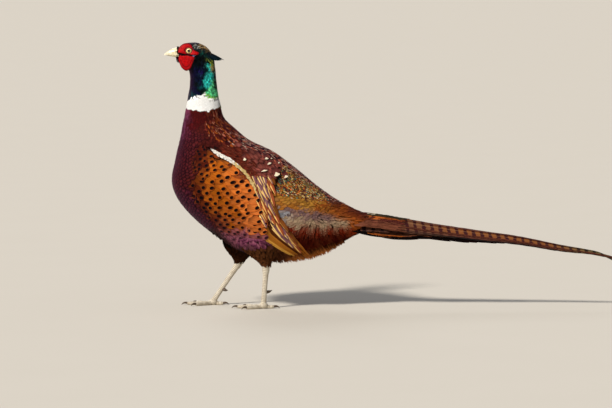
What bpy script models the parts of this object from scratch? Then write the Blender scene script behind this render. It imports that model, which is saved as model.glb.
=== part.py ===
"""A cock common pheasant, life size, standing with one foot forward.

The bird faces -X, its left side is at -Y and the floor is z = 0. The origin is on the floor, under the middle
of the bird's box. Sizes are written in millimetres and multiplied by MM.
"""
import math

import bmesh
import bpy
import numpy as np
from mathutils import Matrix, Vector

MM = 0.001
GAP = 0.35 * MM            # clear space between two nodes that touch
BODY_NAME = "pheasant"

# The trunk, neck and head are one loft. Each station pairs a point of the back line with the point of the
# throat, breast or belly line across from it: (x, z) of the back, (x, z) of the front, half width, all in mm.
STATIONS = {
    "bill_base": ((-355.8, 429.4), (-355.2, 412.0), 7.6),
    "forehead": ((-348.4, 434.2), (-350.6, 407.6), 12.2),
    "brow": ((-339.3, 436.0), (-345.1, 399.8), 15.0),
    "crown": ((-326.0, 435.4), (-341.6, 391.2), 16.4),
    "nape": ((-311.6, 428.0), (-340.0, 384.4), 17.2),
    "throat": ((-302.0, 414.2), (-339.4, 378.2), 17.4),
    "upper_neck": ((-298.2, 394.4), (-339.6, 371.0), 17.6),
    "mid_neck": ((-296.4, 374.6), (-340.2, 362.0), 18.4),
    "collar_top": ((-293.2, 349.5), (-342.6, 349.0), 21.5),
    "collar_foot": ((-290.0, 335.8), (-346.8, 324.4), 25.0),
    "neck_root": ((-284.5, 314.0), (-351.4, 304.0), 31.0),
    "shoulder_top": ((-268.0, 297.0), (-355.6, 280.6), 41.0),
    "shoulder": ((-242.0, 275.8), (-363.4, 247.0), 56.0),
    "breast": ((-201.5, 256.0), (-369.6, 204.0), 67.5),
    "mid_back": ((-162.0, 226.6), (-350.0, 164.6), 72.0),
    "belly": ((-132.2, 201.8), (-300.5, 120.0), 69.0),
    "vent": ((-102.5, 180.6), (-231.0, 84.0), 57.0),
    "rump": ((-84.0, 170.6), (-160.0, 84.0), 41.0),
    "tail_root": ((-73.0, 164.6), (-98.0, 105.0), 28.0),
    "tail_face": ((-60.0, 158.6), (-62.0, 122.6), 19.0),
}
NAMES = list(STATIONS)
SQUARENESS = 0.94          # below 1, sections are a little fuller than ellipses
TRUNK_SIDES = 26
NECK_SIDES = 22
TORSO_RINGS = 17
RUMP_RINGS = 10
NECK_STARTS = NAMES.index("throat")
COLLAR_STARTS = NAMES.index("collar_top")
TRUNK_STARTS = NAMES.index("collar_foot")
RUMP_STARTS = NAMES.index("belly")
TRUNK_ENDS = NAMES.index("tail_face")

# Head
EYE_AT = (-341.0, 423.0)   # x, z
EYE_RADIUS = 5.4
EYE_OUT = 12.6             # y of the eyeball's middle
LID_RADIUS = 4.9
LID_THICK = 1.1
LID_OUT = 15.4
WATTLE_AT = (-345.1, 414.2)
WATTLE_REACH = {
    0: 12.4, 12: 21.9, 27: 18.4, 49: 16.8, 68: 20.6, 95: 21.0, 120: 19.7, 150: 16.3,
    180: 12.9, 205: 15.5, 235: 19.7, 265: 24.0, 288: 19.8, 315: 15.4, 342: 13.4, 360: 12.4,
}
WATTLE_SHARES = (0.02, 0.3, 0.54, 0.74, 0.9, 1.0)
WATTLE_SECTORS = 26
WATTLE_SWELL = 4.0
WATTLE_FOLD = 1.2          # depth of the fold between the upper lobe and the hanging one
WATTLE_BULB = 0.55
WATTLE_FLOOR = 5.0
BILL_BASE_X = -356.4
BILL_TIP_X = -382.6
TUFT_LENGTH = 31.0

# Wing, in its own plane: l runs from the shoulder to the tip, s runs up and back across it
SHOULDER = (-305.5, 264.0)
WING_TIP = (-139.0, 75.5)
WING_FRONT = {
    0: -1.0, 20: 4.0, 45: 12.0, 78: 15.0, 108: 7.0, 134: -9.0, 160: -27.0, 190: -28.0, 222: -19.0, 252: 0.0,
}
WING_REAR = {
    0: 1.0, 10: 20.0, 46: 50.0, 84: 66.0, 108: 66.0, 126: 55.0, 146: 39.0, 180: 22.0, 216: 11.0, 252: 3.0,
}
WING_HANG = {0: 20.0, 100: 46.0, 160: 47.0, 210: 40.0, 252: 31.0}
WING_FLOOR = -4.2          # how deep the wing lies in the trunk, under the body's own surface
WING_PLATE = 3.6
POCKET_FLOOR = -5.6        # floor of the hollow in the trunk that the wing lies in
WING_CORE_ENDS = 150.0

# Tail
TAIL_RIDGE = {
    -62: 156.0, -30: 152.6, 6: 147.6, 72: 136.4, 138: 126.4, 204: 116.6, 270: 103.0, 336: 90.6, 383: 77.0,
}
TAIL_TIPS = (382.6, 318.0, 244.0, 180.0, 124.0, 76.0, 38.0, 8.0, -12.0)
TAIL_ROOT_X = -59.0
TAIL_HALF = 19.5
TAIL_LAYER = 1.5
TAIL_VANE = 0.9

# Legs: hip, ankle and sole as (x, y, z). A thigh ring is (share of the way down, half width, half depth), and a
# toe is (degrees from straight ahead towards the outer side, length)
LEGS = {
    "left": {"hip": (-234.0, -30.0, 130.0), "ankle": (-214.5, -31.0, 64.0), "sole": (-218.5, -33.0, 6.0)},
    "right": {"hip": (-247.0, 30.0, 130.0), "ankle": (-262.5, 31.0, 66.0), "sole": (-303.0, 31.0, 6.0)},
}
THIGH_RINGS = (
    (0.0, 12.0, 20.0), (0.25, 25.0, 34.0), (0.5, 24.0, 32.0), (0.72, 16.0, 21.0), (0.9, 8.6, 10.6), (1.0, 6.4, 7.6),
)
SHANK_TOP_Z = 70.0
TOES = {"inner": (-30.0, 32.0), "middle": (4.0, 43.0), "outer": (36.0, 35.0), "hind": (174.0, 17.0)}
TOE_THICK = 3.1
TOE_HEIGHT = 2.2
CLAW_LENGTH = 9.5

COLOURS = {
    "plumage_head": ((0.015, 0.05, 0.055), 0.35, 0.25),
    "plumage_collar": ((0.86, 0.84, 0.80), 0.7, 0.0),
    "plumage_breast": ((0.16, 0.035, 0.03), 0.45, 0.1),
    "plumage_rump": ((0.20, 0.13, 0.06), 0.55, 0.0),
    "plumage_wing": ((0.22, 0.09, 0.06), 0.55, 0.0),
    "plumage_tail": ((0.24, 0.11, 0.05), 0.55, 0.0),
    "plumage_thigh": ((0.07, 0.035, 0.025), 0.7, 0.0),
    "wattle": ((0.62, 0.01, 0.02), 0.5, 0.0),
    "bill": ((0.72, 0.62, 0.38), 0.4, 0.0),
    "eye": ((0.75, 0.55, 0.16), 0.08, 0.0),
    "leg": ((0.52, 0.47, 0.38), 0.5, 0.0),
    "claw": ((0.20, 0.16, 0.12), 0.35, 0.0),
}


def clear_scene():
    for thing in list(bpy.data.objects):
        bpy.data.objects.remove(thing, do_unlink=True)


def material(slot):
    """A plain finish for one slot: colour, roughness and metallic value."""
    found = bpy.data.materials.get(slot)
    if found:
        return found
    colour, rough, metal = COLOURS[slot]
    made = bpy.data.materials.new(slot)
    made.use_nodes = True
    shader = made.node_tree.nodes["Principled BSDF"]
    shader.inputs["Base Color"].default_value = (*colour, 1.0)
    shader.inputs["Roughness"].default_value = rough
    shader.inputs["Metallic"].default_value = metal
    made.diffuse_color = (*colour, 1.0)
    return made


def new_object(name, mesh, collection, slot=None):
    made = bpy.data.objects.new(name, mesh)
    collection.objects.link(made)
    if slot:
        mesh.materials.clear()
        mesh.materials.append(material(slot))
    return made


def from_bmesh(name, bm, collection, slot=None):
    mesh = bpy.data.meshes.new(name)
    bmesh.ops.recalc_face_normals(bm, faces=bm.faces)
    bm.to_mesh(mesh)
    bm.free()
    return new_object(name, mesh, collection, slot)


def apply_modifiers(piece):
    """Replaces the piece's mesh by its evaluated one and drops the modifiers."""
    bpy.context.view_layer.update()
    graph = bpy.context.evaluated_depsgraph_get()
    mesh = bpy.data.meshes.new_from_object(piece.evaluated_get(graph))
    piece.modifiers.clear()
    piece.data = mesh
    return piece


def smooth_curve(knots, values, at):
    """A smooth curve through values at knots: cubic pieces whose slopes are those of the neighbouring knots."""
    knots = np.asarray(knots, float)
    values = np.asarray(values, float)
    at = np.clip(np.atleast_1d(np.asarray(at, float)), knots[0], knots[-1])
    slopes = np.gradient(values, knots, axis=0)
    i = np.clip(np.searchsorted(knots, at, side="right") - 1, 0, len(knots) - 2)
    step = knots[i + 1] - knots[i]
    t = (at - knots[i]) / step
    if values.ndim > 1:
        t, step = t[:, None], step[:, None]
    a = 2 * t**3 - 3 * t**2 + 1
    b = t**3 - 2 * t**2 + t
    c = -2 * t**3 + 3 * t**2
    d = t**3 - t**2
    return a * values[i] + b * step * slopes[i] + c * values[i + 1] + d * step * slopes[i + 1]


def profile(table, at):
    """A smooth curve through a table of {place: size}."""
    return smooth_curve(list(table), list(table.values()), at)


# Trunk, neck and head

STATION_VALUES = np.array([[*back, *front, width] for back, front, width in STATIONS.values()], float)
STATION_KNOTS = np.arange(len(NAMES), dtype=float)


def section(u):
    """(middle, half axis towards the back, half width) of the body at station number u, in mm."""
    bx, bz, fx, fz, width = smooth_curve(STATION_KNOTS, STATION_VALUES, u)[0]
    back, front = np.array([bx, 0, bz]), np.array([fx, 0, fz])
    return (back + front) / 2, (back - front) / 2, width


def fuller(v):
    """A sine or cosine with a power under 1, which fills out the corners of a section."""
    return math.copysign(abs(v) ** SQUARENESS, v)


def body_point(u, turn, lift=0.0):
    """A point of the body: turn is 0 on the back, pi / 2 on the left side (-Y), pi on the belly. lift is outwards."""
    middle, up, width = section(u)
    reach = np.linalg.norm(up)
    to_back = fuller(math.cos(turn)) * (1 + lift / reach)
    to_left = fuller(math.sin(turn)) * (width + lift)
    return middle + up * to_back + np.array([0, -to_left, 0])


def body_frame(u, turn):
    """(point, outward normal) of the body surface."""
    e = 1e-3
    p = body_point(u, turn)
    along = body_point(u + e, turn) - body_point(u - e, turn)
    across = body_point(u, turn + e) - body_point(u, turn - e)
    n = np.cross(along, across)
    n /= np.linalg.norm(n)
    middle = section(u)[0]
    return p, n if np.dot(n, p - middle) > 0 else -n


def fan(start, end):
    """(middles, half lines, half widths) of closely spaced sections, as seen from the side."""
    rows = smooth_curve(STATION_KNOTS, STATION_VALUES, np.linspace(start, end, 181))
    return (rows[:, 0:2] + rows[:, 2:4]) / 2, (rows[:, 0:2] - rows[:, 2:4]) / 2, rows[:, 4]


def half_width(sections, x, z):
    """Half width of the body at a point of the side view. Each section is a slanted line there, so the one through
    the point is found first. It is 0 outside the body."""
    middles, halves, widths = sections
    offsets = np.array([x, z]) - middles
    turns = halves[:, 0] * offsets[:, 1] - halves[:, 1] * offsets[:, 0]
    crossings = np.nonzero(np.diff(np.sign(turns)))[0]
    if len(crossings):
        best = min(crossings, key=lambda k: np.linalg.norm(offsets[k]))
    else:
        best = int(np.argmin(abs(turns)))
    reach = offsets[best] @ halves[best] / (halves[best] @ halves[best])
    turn = min(abs(reach), 1.0) ** (1 / SQUARENESS)
    return widths[best] * math.sqrt(1 - turn**2) ** SQUARENESS


HEAD_FAN = fan(0, NECK_STARTS)
TRUNK_FAN = fan(TRUNK_STARTS, TRUNK_ENDS)


def loft(name, rings, collection, slot):
    """A closed skin over rings of equal numbers of points, with flat ends."""
    bm = bmesh.new()
    made = [[bm.verts.new(Vector(p) * MM) for p in ring] for ring in rings]
    count = len(made[0])
    for low, high in zip(made, made[1:]):
        for k in range(count):
            bm.faces.new((low[k], low[(k + 1) % count], high[(k + 1) % count], high[k]))
    bm.faces.new(made[0][::-1])
    bm.faces.new(made[-1])
    bmesh.ops.triangulate(bm, faces=[f for f in bm.faces if len(f.verts) == 4], quad_method="SHORT_EDGE")
    return from_bmesh(name, bm, collection, slot)


def body_piece(name, start, end, rings, sides, collection, slot, grow=0.0, gap_at_start=True):
    """The part of the body between two stations. It starts one gap behind the station, so that the node before it
    can end on that station."""
    lofted = []
    for k, u in enumerate(np.linspace(start, end, rings)):
        ring = np.array([body_point(u, 2 * math.pi * j / sides, grow) for j in range(sides)])
        if k == 0 and gap_at_start:
            ahead = section(u + 0.02)[0] - section(u)[0]
            ring = ring + ahead / np.linalg.norm(ahead) * GAP / MM
        lofted.append(ring)
    return loft(name, lofted, collection, slot)


# Joining and cutting

def solve(piece, others, operation, solver="EXACT"):
    """One applied Boolean of piece with a collection of closed meshes, which are then removed."""
    group = bpy.data.collections.new("joining")
    bpy.context.scene.collection.children.link(group)
    for other in others:
        for home in list(other.users_collection):
            home.objects.unlink(other)
        group.objects.link(other)
    modifier = piece.modifiers.new("join", "BOOLEAN")
    modifier.operation = operation
    modifier.operand_type = "COLLECTION"
    modifier.collection = group
    modifier.solver = solver
    apply_modifiers(piece)
    for other in others:
        bpy.data.objects.remove(other, do_unlink=True)
    bpy.data.collections.remove(group)
    return keep_largest(piece)


def keep_largest(piece):
    """Keeps only the largest closed surface of a mesh."""
    bm = bmesh.new()
    bm.from_mesh(piece.data)
    bmesh.ops.triangulate(bm, faces=bm.faces)
    bm.verts.ensure_lookup_table()
    seen, best, best_size = set(), None, -1.0
    for start in bm.verts:
        if start.index in seen:
            continue
        stack, island = [start], []
        seen.add(start.index)
        while stack:
            v = stack.pop()
            island.append(v)
            for edge in v.link_edges:
                other = edge.other_vert(v)
                if other.index not in seen:
                    seen.add(other.index)
                    stack.append(other)
        faces = {f for v in island for f in v.link_faces}
        size = abs(sum(f.verts[0].co.dot(f.verts[1].co.cross(f.verts[2].co)) for f in faces))
        if size > best_size:
            best, best_size = set(island), size
    bmesh.ops.delete(bm, geom=[v for v in bm.verts if v not in best], context="VERTS")
    bm.to_mesh(piece.data)
    bm.free()
    return piece


def cut(piece, cutters, solver="EXACT"):
    return solve(piece, cutters, "DIFFERENCE", solver)


def join(piece, pieces, solver="EXACT"):
    return solve(piece, pieces, "UNION", solver)


# Simple closed forms

def ellipsoid(name, middle, radii, collection, slot=None, turn=(0, 0, 0), rings=10, sides=16):
    bm = bmesh.new()
    bmesh.ops.create_uvsphere(bm, u_segments=sides, v_segments=rings, radius=1.0)
    place = (
        Matrix.Translation(Vector(middle) * MM)
        @ Matrix.Rotation(turn[2], 4, "Z")
        @ Matrix.Rotation(turn[1], 4, "Y")
        @ Matrix.Rotation(turn[0], 4, "X")
        @ Matrix.Diagonal(Vector((*[r * MM for r in radii], 1)))
    )
    bmesh.ops.transform(bm, matrix=place, verts=bm.verts)
    return from_bmesh(name, bm, collection, slot)


def ring_form(name, middle, radius, thick, collection, slot=None, turn=0.0, steps=20, sides=6):
    """A torus round the Y axis, turned about Z: a row of small circles on a larger one."""
    bm = bmesh.new()
    rows = []
    for i in range(steps):
        a = 2 * math.pi * i / steps
        row = []
        for j in range(sides):
            b = 2 * math.pi * j / sides
            r = radius + thick * math.cos(b)
            p = Matrix.Rotation(turn, 3, "Z") @ Vector((r * math.cos(a), thick * math.sin(b), r * math.sin(a)))
            row.append(bm.verts.new((Vector(middle) + p) * MM))
        rows.append(row)
    for i in range(steps):
        for j in range(sides):
            k, m = (i + 1) % steps, (j + 1) % sides
            bm.faces.new((rows[i][j], rows[k][j], rows[k][m], rows[i][m]))
    return from_bmesh(name, bm, collection, slot)


def limb(name, points, radii, collection, slot=None, sides=10):
    """A tube through points with a radius at each: a curve with a bevel and filled caps, made a mesh."""
    data = bpy.data.curves.new(name, "CURVE")
    data.dimensions = "3D"
    data.bevel_depth = 1.0
    data.bevel_resolution = max(1, sides // 2 - 2)
    data.use_fill_caps = True
    line = data.splines.new("POLY")
    line.points.add(len(points) - 1)
    for knot, place, radius in zip(line.points, points, radii):
        knot.co = (*[c * MM for c in place], 1)
        knot.radius = radius * MM
    holder = bpy.data.objects.new(name, data)
    bpy.context.scene.collection.objects.link(holder)
    bpy.context.view_layer.update()
    graph = bpy.context.evaluated_depsgraph_get()
    mesh = bpy.data.meshes.new_from_object(holder.evaluated_get(graph))
    bpy.data.objects.remove(holder)
    bm = bmesh.new()
    bm.from_mesh(mesh)
    bmesh.ops.remove_doubles(bm, verts=bm.verts, dist=1e-6)
    return from_bmesh(name, bm, collection, slot)


def vane(name, shape, thick, collection, along=4, across=2):
    """A feather's blade: a grid laid on shape(a, b), with a from 0 at the root to 1 at the tip and b from -1 to 1
    across it, split into triangles and given its thickness by Solidify."""
    bm = bmesh.new()
    bmesh.ops.create_grid(bm, x_segments=along, y_segments=across, size=1.0)
    for v in bm.verts:
        v.co = Vector(shape((v.co.x + 1) / 2, v.co.y)) * MM
    bmesh.ops.triangulate(bm, faces=bm.faces, quad_method="FIXED")
    made = from_bmesh(name, bm, collection)
    solidify = made.modifiers.new("blade", "SOLIDIFY")
    solidify.thickness = thick * MM
    solidify.offset = 0.0
    return apply_modifiers(made)


def blade_width(a, point=0.16, root=0.45, widest=0.55):
    """Half width of a blade as a share: it grows from the root, is fullest at widest, and rounds to the tip."""
    if a < widest:
        return root + (1 - root) * math.sin(math.pi / 2 * a / widest)
    t = (a - widest) / (1 - widest)
    return point + (1 - point) * math.sqrt(max(0.0, 1 - t**2.2))


# Head parts

def bill_half(name, rings, collection, slot, grow=0.0):
    """Half of the bill: each ring is (x, z of the edge line, z of the ridge, half width). The section is a half
    round between the cutting edges and the ridge, closed by a flat."""
    lofted = []
    for x, edge, ridge, width in rings:
        width += grow
        outwards = math.copysign(grow, ridge - edge)
        height = ridge - edge + outwards
        ring = []
        for t in np.linspace(0, math.pi, 9):
            ring.append((x, -width * math.cos(t), edge + height * abs(math.sin(t)) ** 0.85))
        for share in (0.5, 0.0, -0.5):
            ring.append((x, width * share, edge - outwards))
        lofted.append(ring)
    return loft(name, lofted, collection, slot)


def bill_rings(upper):
    """Rings of the upper or lower bill from the face to the tip: the upper one curves down past the lower one."""
    length = BILL_BASE_X - BILL_TIP_X
    rings = []
    for step in (0.0, 0.12, 0.28, 0.45, 0.62, 0.78, 0.9, 0.985):
        t = step if upper else step * 0.84
        x = BILL_BASE_X - length * t
        edge = 415.4 + 1.4 * t - 5.4 * max(0.0, t - 0.7)
        if upper:
            ridge = 415.6 + 13.2 * (1 - t**1.55) ** 0.8 + 0.9 * t
            width = 6.9 * (1 - t**1.35) ** 0.75 + 0.35
            rings.append((x, edge, max(ridge, edge + 0.6), width))
        else:
            depth = 3.2 * (1 - step**1.6) ** 0.7 + 0.45
            width = 5.9 * (1 - step**1.4) ** 0.8 + 0.5
            rings.append((x, edge - 0.4, edge - 0.4 - depth, width))
    return rings


def make_bill(parts, tools):
    upper = bill_half("bill_upper", bill_rings(True), parts, "bill")
    hood = []
    pits = []
    for side in (-1, 1):
        hood.append(ellipsoid("hood", (-360.0, side * 4.3, 423.0), (4.4, 2.0, 2.6), tools, rings=6, sides=10))
        pits.append(ellipsoid("nostril", (-361.2, side * 6.6, 420.7), (2.2, 1.6, 0.8), tools, rings=6, sides=8))
    join(upper, hood)
    bisect(upper, (BILL_BASE_X, 0, 0), (1, 0, 0))
    cut(upper, pits)
    lower = bill_half("bill_lower", bill_rings(False), parts, "bill")
    return upper, lower


def bisect(piece, point, outward, close=True):
    """Cuts the piece by a plane, drops what is on the outward side and closes the cut."""
    bm = bmesh.new()
    bm.from_mesh(piece.data)
    cut_geometry = bmesh.ops.bisect_plane(
        bm,
        geom=bm.verts[:] + bm.edges[:] + bm.faces[:],
        plane_co=Vector(point) * MM,
        plane_no=Vector(outward),
        clear_outer=True,
    )
    if close:
        rim = [e for e in cut_geometry["geom_cut"] if isinstance(e, bmesh.types.BMEdge)]
        bmesh.ops.holes_fill(bm, edges=rim)
    bmesh.ops.recalc_face_normals(bm, faces=bm.faces)
    bm.to_mesh(piece.data)
    bm.free()
    return piece


def eyeball(name, side, collection, slot=None, grow=0.0):
    middle = (EYE_AT[0], side * EYE_OUT, EYE_AT[1])
    return ellipsoid(name, middle, (EYE_RADIUS + grow,) * 3, collection, slot, rings=8, sides=14)


def wattle_face(side, turn, share):
    """A point of the wattle's outer face, from its middle (share 0) to its rim (share 1). It swells over the side of
    the head, hangs free below the throat and is rippled with low bulbs."""
    reach = profile(WATTLE_REACH, math.degrees(turn))[0] * share
    x = WATTLE_AT[0] + reach * math.cos(turn)
    z = WATTLE_AT[1] + reach * math.sin(turn)
    skin = (half_width(HEAD_FAN, x, z) ** 4 + 10.0**4) ** 0.25
    eye = math.hypot(x - EYE_AT[0], z - EYE_AT[1])
    fold = math.exp(-(((z - 414.0 - 0.12 * (x - EYE_AT[0])) / 2.2) ** 2))
    swell = WATTLE_SWELL * (1 - share**3) ** 0.6 * (1 - 0.9 * math.exp(-((eye / 7.5) ** 4))) - WATTLE_FOLD * fold
    bulbs = WATTLE_BULB * math.cos(0.95 * x) * math.cos(0.95 * z + 0.4 * x) * (1 - share**2) * min(1.0, eye / 14)
    return np.array([x, side * (skin - 1.4 + swell + bulbs), z])


def make_wattle(side, parts, tools):
    """The red skin of the face round the eye: one patch with an upper and a hanging lobe, and the rim of the lids."""
    name = "wattle_left" if side < 0 else "wattle_right"
    turns = np.radians(np.arange(0, 360, 360 / WATTLE_SECTORS))
    rings = [[wattle_face(side, turn, share) for turn in turns] for share in WATTLE_SHARES]
    inner = [[(p[0], side * WATTLE_FLOOR, p[2]) for p in rings[-1]]]
    wattle = loft(name, rings + inner, parts, "wattle")
    lean = side * math.radians(3)
    lids = ring_form("lids", (EYE_AT[0], side * LID_OUT, EYE_AT[1]), LID_RADIUS, LID_THICK, tools, None, lean, 14, 5)
    join(wattle, [lids], "MANIFOLD")
    clear = GAP / MM
    head = body_piece("head_cutter", 0, NECK_STARTS, 14, NECK_SIDES, tools, None, clear, gap_at_start=False)
    eye = eyeball("eye_cutter", side, tools, grow=clear)
    upper, lower = (bill_half("bill_cutter", bill_rings(top), tools, None, clear + 0.1) for top in (True, False))
    cut(wattle, [head, eye, upper], "MANIFOLD")
    return cut(wattle, [lower], "MANIFOLD")


def make_ear_tuft(side, parts, tools):
    """The horn-like tuft behind the crown: tapered locks from one small root, lying back past the nape."""
    name = "ear_tuft_left" if side < 0 else "ear_tuft_right"
    root = np.array([-317.5, side * 10.4, 427.0])
    tuft = ellipsoid(name, root, (9.5, 2.6, 3.6), parts, "plumage_head", turn=(0, 0.4, side * 0.3), rings=6, sides=10)
    locks = []
    for k, (rise, swing, share) in enumerate(((-2, 10, 0.84), (3, 15, 0.96), (9, 20, 1.0), (16, 25, 0.82))):
        fall = math.radians(22 + rise * 0.7)
        out = math.radians(swing)
        ahead = np.array([math.cos(fall) * math.cos(out), side * math.sin(out), -math.sin(fall)])
        wide = np.cross(ahead, [0, side, 0.25])
        wide /= np.linalg.norm(wide)

        def shape(a, b, ahead=ahead, wide=wide, share=share, k=k):
            reach = TUFT_LENGTH * share * a - 1.0
            thin = 3.0 * (1 - 0.9 * a**1.6)
            droop = np.array([0, 0, -1.0]) * 2.6 * a * a
            fold = np.array([0, side, 0]) * (0.5 * (1 - b * b) + 0.35 * k)
            return root + ahead * reach + wide * thin * b + droop + fold

        locks.append(vane("lock", shape, 0.9, tools, along=4, across=1))
    tuft = join(tuft, locks, "MANIFOLD")
    clear = GAP / MM
    head = body_piece("head_cutter", 0, NECK_STARTS, 14, NECK_SIDES, tools, None, clear, gap_at_start=False)
    neck = body_piece("neck_cutter", NECK_STARTS, COLLAR_STARTS, 8, NECK_SIDES, tools, None, clear)
    return cut(tuft, [head, neck], "MANIFOLD")


def make_head(parts, tools):
    head = body_piece("head", 0, NECK_STARTS, 14, NECK_SIDES, parts, "plumage_head", gap_at_start=False)
    for side, word in ((-1, "left"), (1, "right")):
        eyeball("eye_" + word, side, parts, "eye")
        make_wattle(side, parts, tools)
        make_ear_tuft(side, parts, tools)
    cut(head, [eyeball("socket", side, tools, grow=GAP / MM) for side in (-1, 1)])
    make_bill(parts, tools)


# Wings

WING_AXIS = np.array([WING_TIP[0] - SHOULDER[0], WING_TIP[1] - SHOULDER[1]])
WING_LENGTH = float(np.linalg.norm(WING_AXIS))
WING_ALONG = WING_AXIS / WING_LENGTH
WING_ACROSS = np.array([-WING_ALONG[1], WING_ALONG[0]])


def wing_point(l, s, lift, side):
    """A point over the wing's plane, lifted off the body's side. Towards its tip the wing hangs clear of it."""
    x, z = np.array(SHOULDER) + WING_ALONG * l + WING_ACROSS * s
    hang = profile(WING_HANG, l)[0]
    out = 0.5 * (half_width(TRUNK_FAN, x, z) + hang + math.hypot(half_width(TRUNK_FAN, x, z) - hang, 6.0))
    return np.array([x, side * (out + lift), z])


def wing_outline(side, low, high, spread, ends, name, collection, along=14, across=6, slot=None):
    """A closed plate over the wing's outline, from one lift to another."""
    bm = bmesh.new()
    layers = []
    for lift in (low, high):
        rows = []
        for i in range(along + 1):
            l = -spread + (ends + 2 * spread) * i / along
            front = profile(WING_FRONT, l)[0] - spread
            rear = profile(WING_REAR, l)[0] + spread
            row = []
            for j in range(across + 1):
                s = front + (rear - front) * j / across
                row.append(bm.verts.new(Vector(wing_point(l, s, lift, side)) * MM))
            rows.append(row)
        layers.append(rows)
    for rows in layers:
        for i in range(along):
            for j in range(across):
                bm.faces.new((rows[i][j], rows[i + 1][j], rows[i + 1][j + 1], rows[i][j + 1]))
    rim = [(i, 0) for i in range(along)] + [(along, j) for j in range(across)]
    rim += [(i, across) for i in range(along, 0, -1)] + [(0, j) for j in range(across, 0, -1)]
    for (i, j), (m, n) in zip(rim, rim[1:] + rim[:1]):
        a, b = layers
        bm.faces.new((a[i][j], a[m][n], b[m][n], b[i][j]))
    bmesh.ops.triangulate(bm, faces=bm.faces, quad_method="FIXED")
    return from_bmesh(name, bm, collection, slot)


# Rows of wing feathers from the shoulder to the tip: (name, l of the roots, l of the tips at the front, l of the
# tips at the rear, feathers, share of the wing's width taken from the front, lift over the plate)
WING_ROWS = (
    ("lesser", 6, 52, 54, 3, 1.0, 1.6),
    ("median", 40, 86, 90, 4, 1.0, 1.3),
    ("greater", 76, 122, 128, 5, 1.0, 1.0),
    ("secondary", 100, 196, 150, 5, 1.0, 0.7),
    ("primary", 134, 222, 250, 4, 0.9, 0.2),
)
BLADE_OVERLAP = 0.8        # half width of a wing feather over the spacing of its row
BLADE_TILT = 1.2           # how far its rear edge stands over its front edge, on either side of the middle


def make_wing(side, parts, tools):
    name = "wing_left" if side < 0 else "wing_right"
    top = WING_FLOOR + WING_PLATE
    wing = wing_outline(side, WING_FLOOR, top, -1.5, WING_CORE_ENDS, name, parts, 12, 4, "plumage_wing")
    blades = []
    for kind, root, front_tip, rear_tip, count, width, lift in WING_ROWS:
        for k in range(count):
            share = (k + 0.5) / count
            reach = front_tip + (rear_tip - front_tip) * share - root

            def shape(a, b, root=root, reach=reach, share=share, width=width, count=count, lift=lift):
                l = root + reach * a
                front, rear = profile(WING_FRONT, l)[0] + 1.2, profile(WING_REAR, l)[0] - 1.2
                across = share + b * BLADE_OVERLAP / count * blade_width(a)
                s = front + (rear - front) * width * min(max(across, 0.0), 1.0)
                rise = top - 2.6 + lift + 4.6 * a**0.8 + BLADE_TILT * b
                return wing_point(l, s, rise, side)

            blades.append(vane(kind, shape, 0.7, tools, along=4 if reach > 70 else 3, across=1))
    return join(wing, blades, "MANIFOLD")


# Tail

def tail_point(x, y, layer):
    """A point on one of the tail's nested roofs."""
    ridge = profile(TAIL_RIDGE, x)[0]
    drop = 0.62 * abs(y) + 0.016 * y * y
    return np.array([x, y, ridge - drop - layer * TAIL_LAYER])


def rectrix(number, side, tools):
    """One tail feather. Each pair is shorter than the one over it, and the middle pair meets on the ridge."""
    tip_x = TAIL_TIPS[number]
    layer = (side < 0) if number == 0 else number + 1
    inner = -4.5 if number == 0 else 1.0 + 0.5 * number
    outer = TAIL_HALF + 0.5 * number

    def shape(a, b):
        x = TAIL_ROOT_X + (tip_x - TAIL_ROOT_X) * a
        taper = 0.03 + 0.97 * math.sqrt(1 - a)
        spread = min(1.0, 0.72 + 0.28 * (x - TAIL_ROOT_X) / 40.0)
        half = (outer - inner) / 2 * taper * spread
        if number == 0:
            middle = inner * taper * spread + half
        else:
            middle = (inner + outer) / 2 * spread * (0.35 + 0.65 * taper)
        return tail_point(x, side * max(middle + b * half, -6.0), layer)

    along = max(3, round((tip_x - TAIL_ROOT_X) / 60))
    return vane("rectrix", shape, TAIL_VANE, tools, along=along, across=2 if number == 0 else 1)


def tail_covert(lie, reach, lift, tools):
    """A covert over the root of the tail: lie is its place across the ridge, from -1 to 1."""

    def shape(a, b):
        y = 15.0 * lie + b * 9.0 * blade_width(a, point=0.2)
        return tail_point(TAIL_ROOT_X + reach * a, y, 0) + np.array([0, 0, lift + 1.0 - 3.0 * max(0.0, 0.3 - a)])

    return vane("covert", shape, 0.8, tools, along=3, across=1)


def make_tail(parts, tools):
    """Root of flesh, then nine feathers on each side, shorter one under the other, and the coverts over them."""
    middle, up, width = section(TRUNK_ENDS)
    rings = []
    for t, size in ((0.0, 0.8), (0.5, 0.62), (1.0, 0.2)):
        turns = np.linspace(0, 2 * math.pi, 13)[:-1]
        push = middle + np.array([GAP / MM + 26.0 * t, 0, 0.5 - 4.0 * t])
        rings.append([push + up * size * math.cos(a) + np.array([0, -width * size * math.sin(a), 0]) for a in turns])
    tail = loft("tail", rings, parts, "plumage_tail")
    feathers = [rectrix(number, side, tools) for number in range(len(TAIL_TIPS)) for side in (-1, 1)]
    for lie, reach, lift in ((-0.9, 52, 0.9), (0.9, 52, 0.9), (-0.4, 66, 2.1), (0.4, 66, 2.6), (0.0, 78, 3.9)):
        feathers.append(tail_covert(lie, reach, lift, tools))
    return join(tail, feathers, "MANIFOLD")


# Trunk

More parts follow.
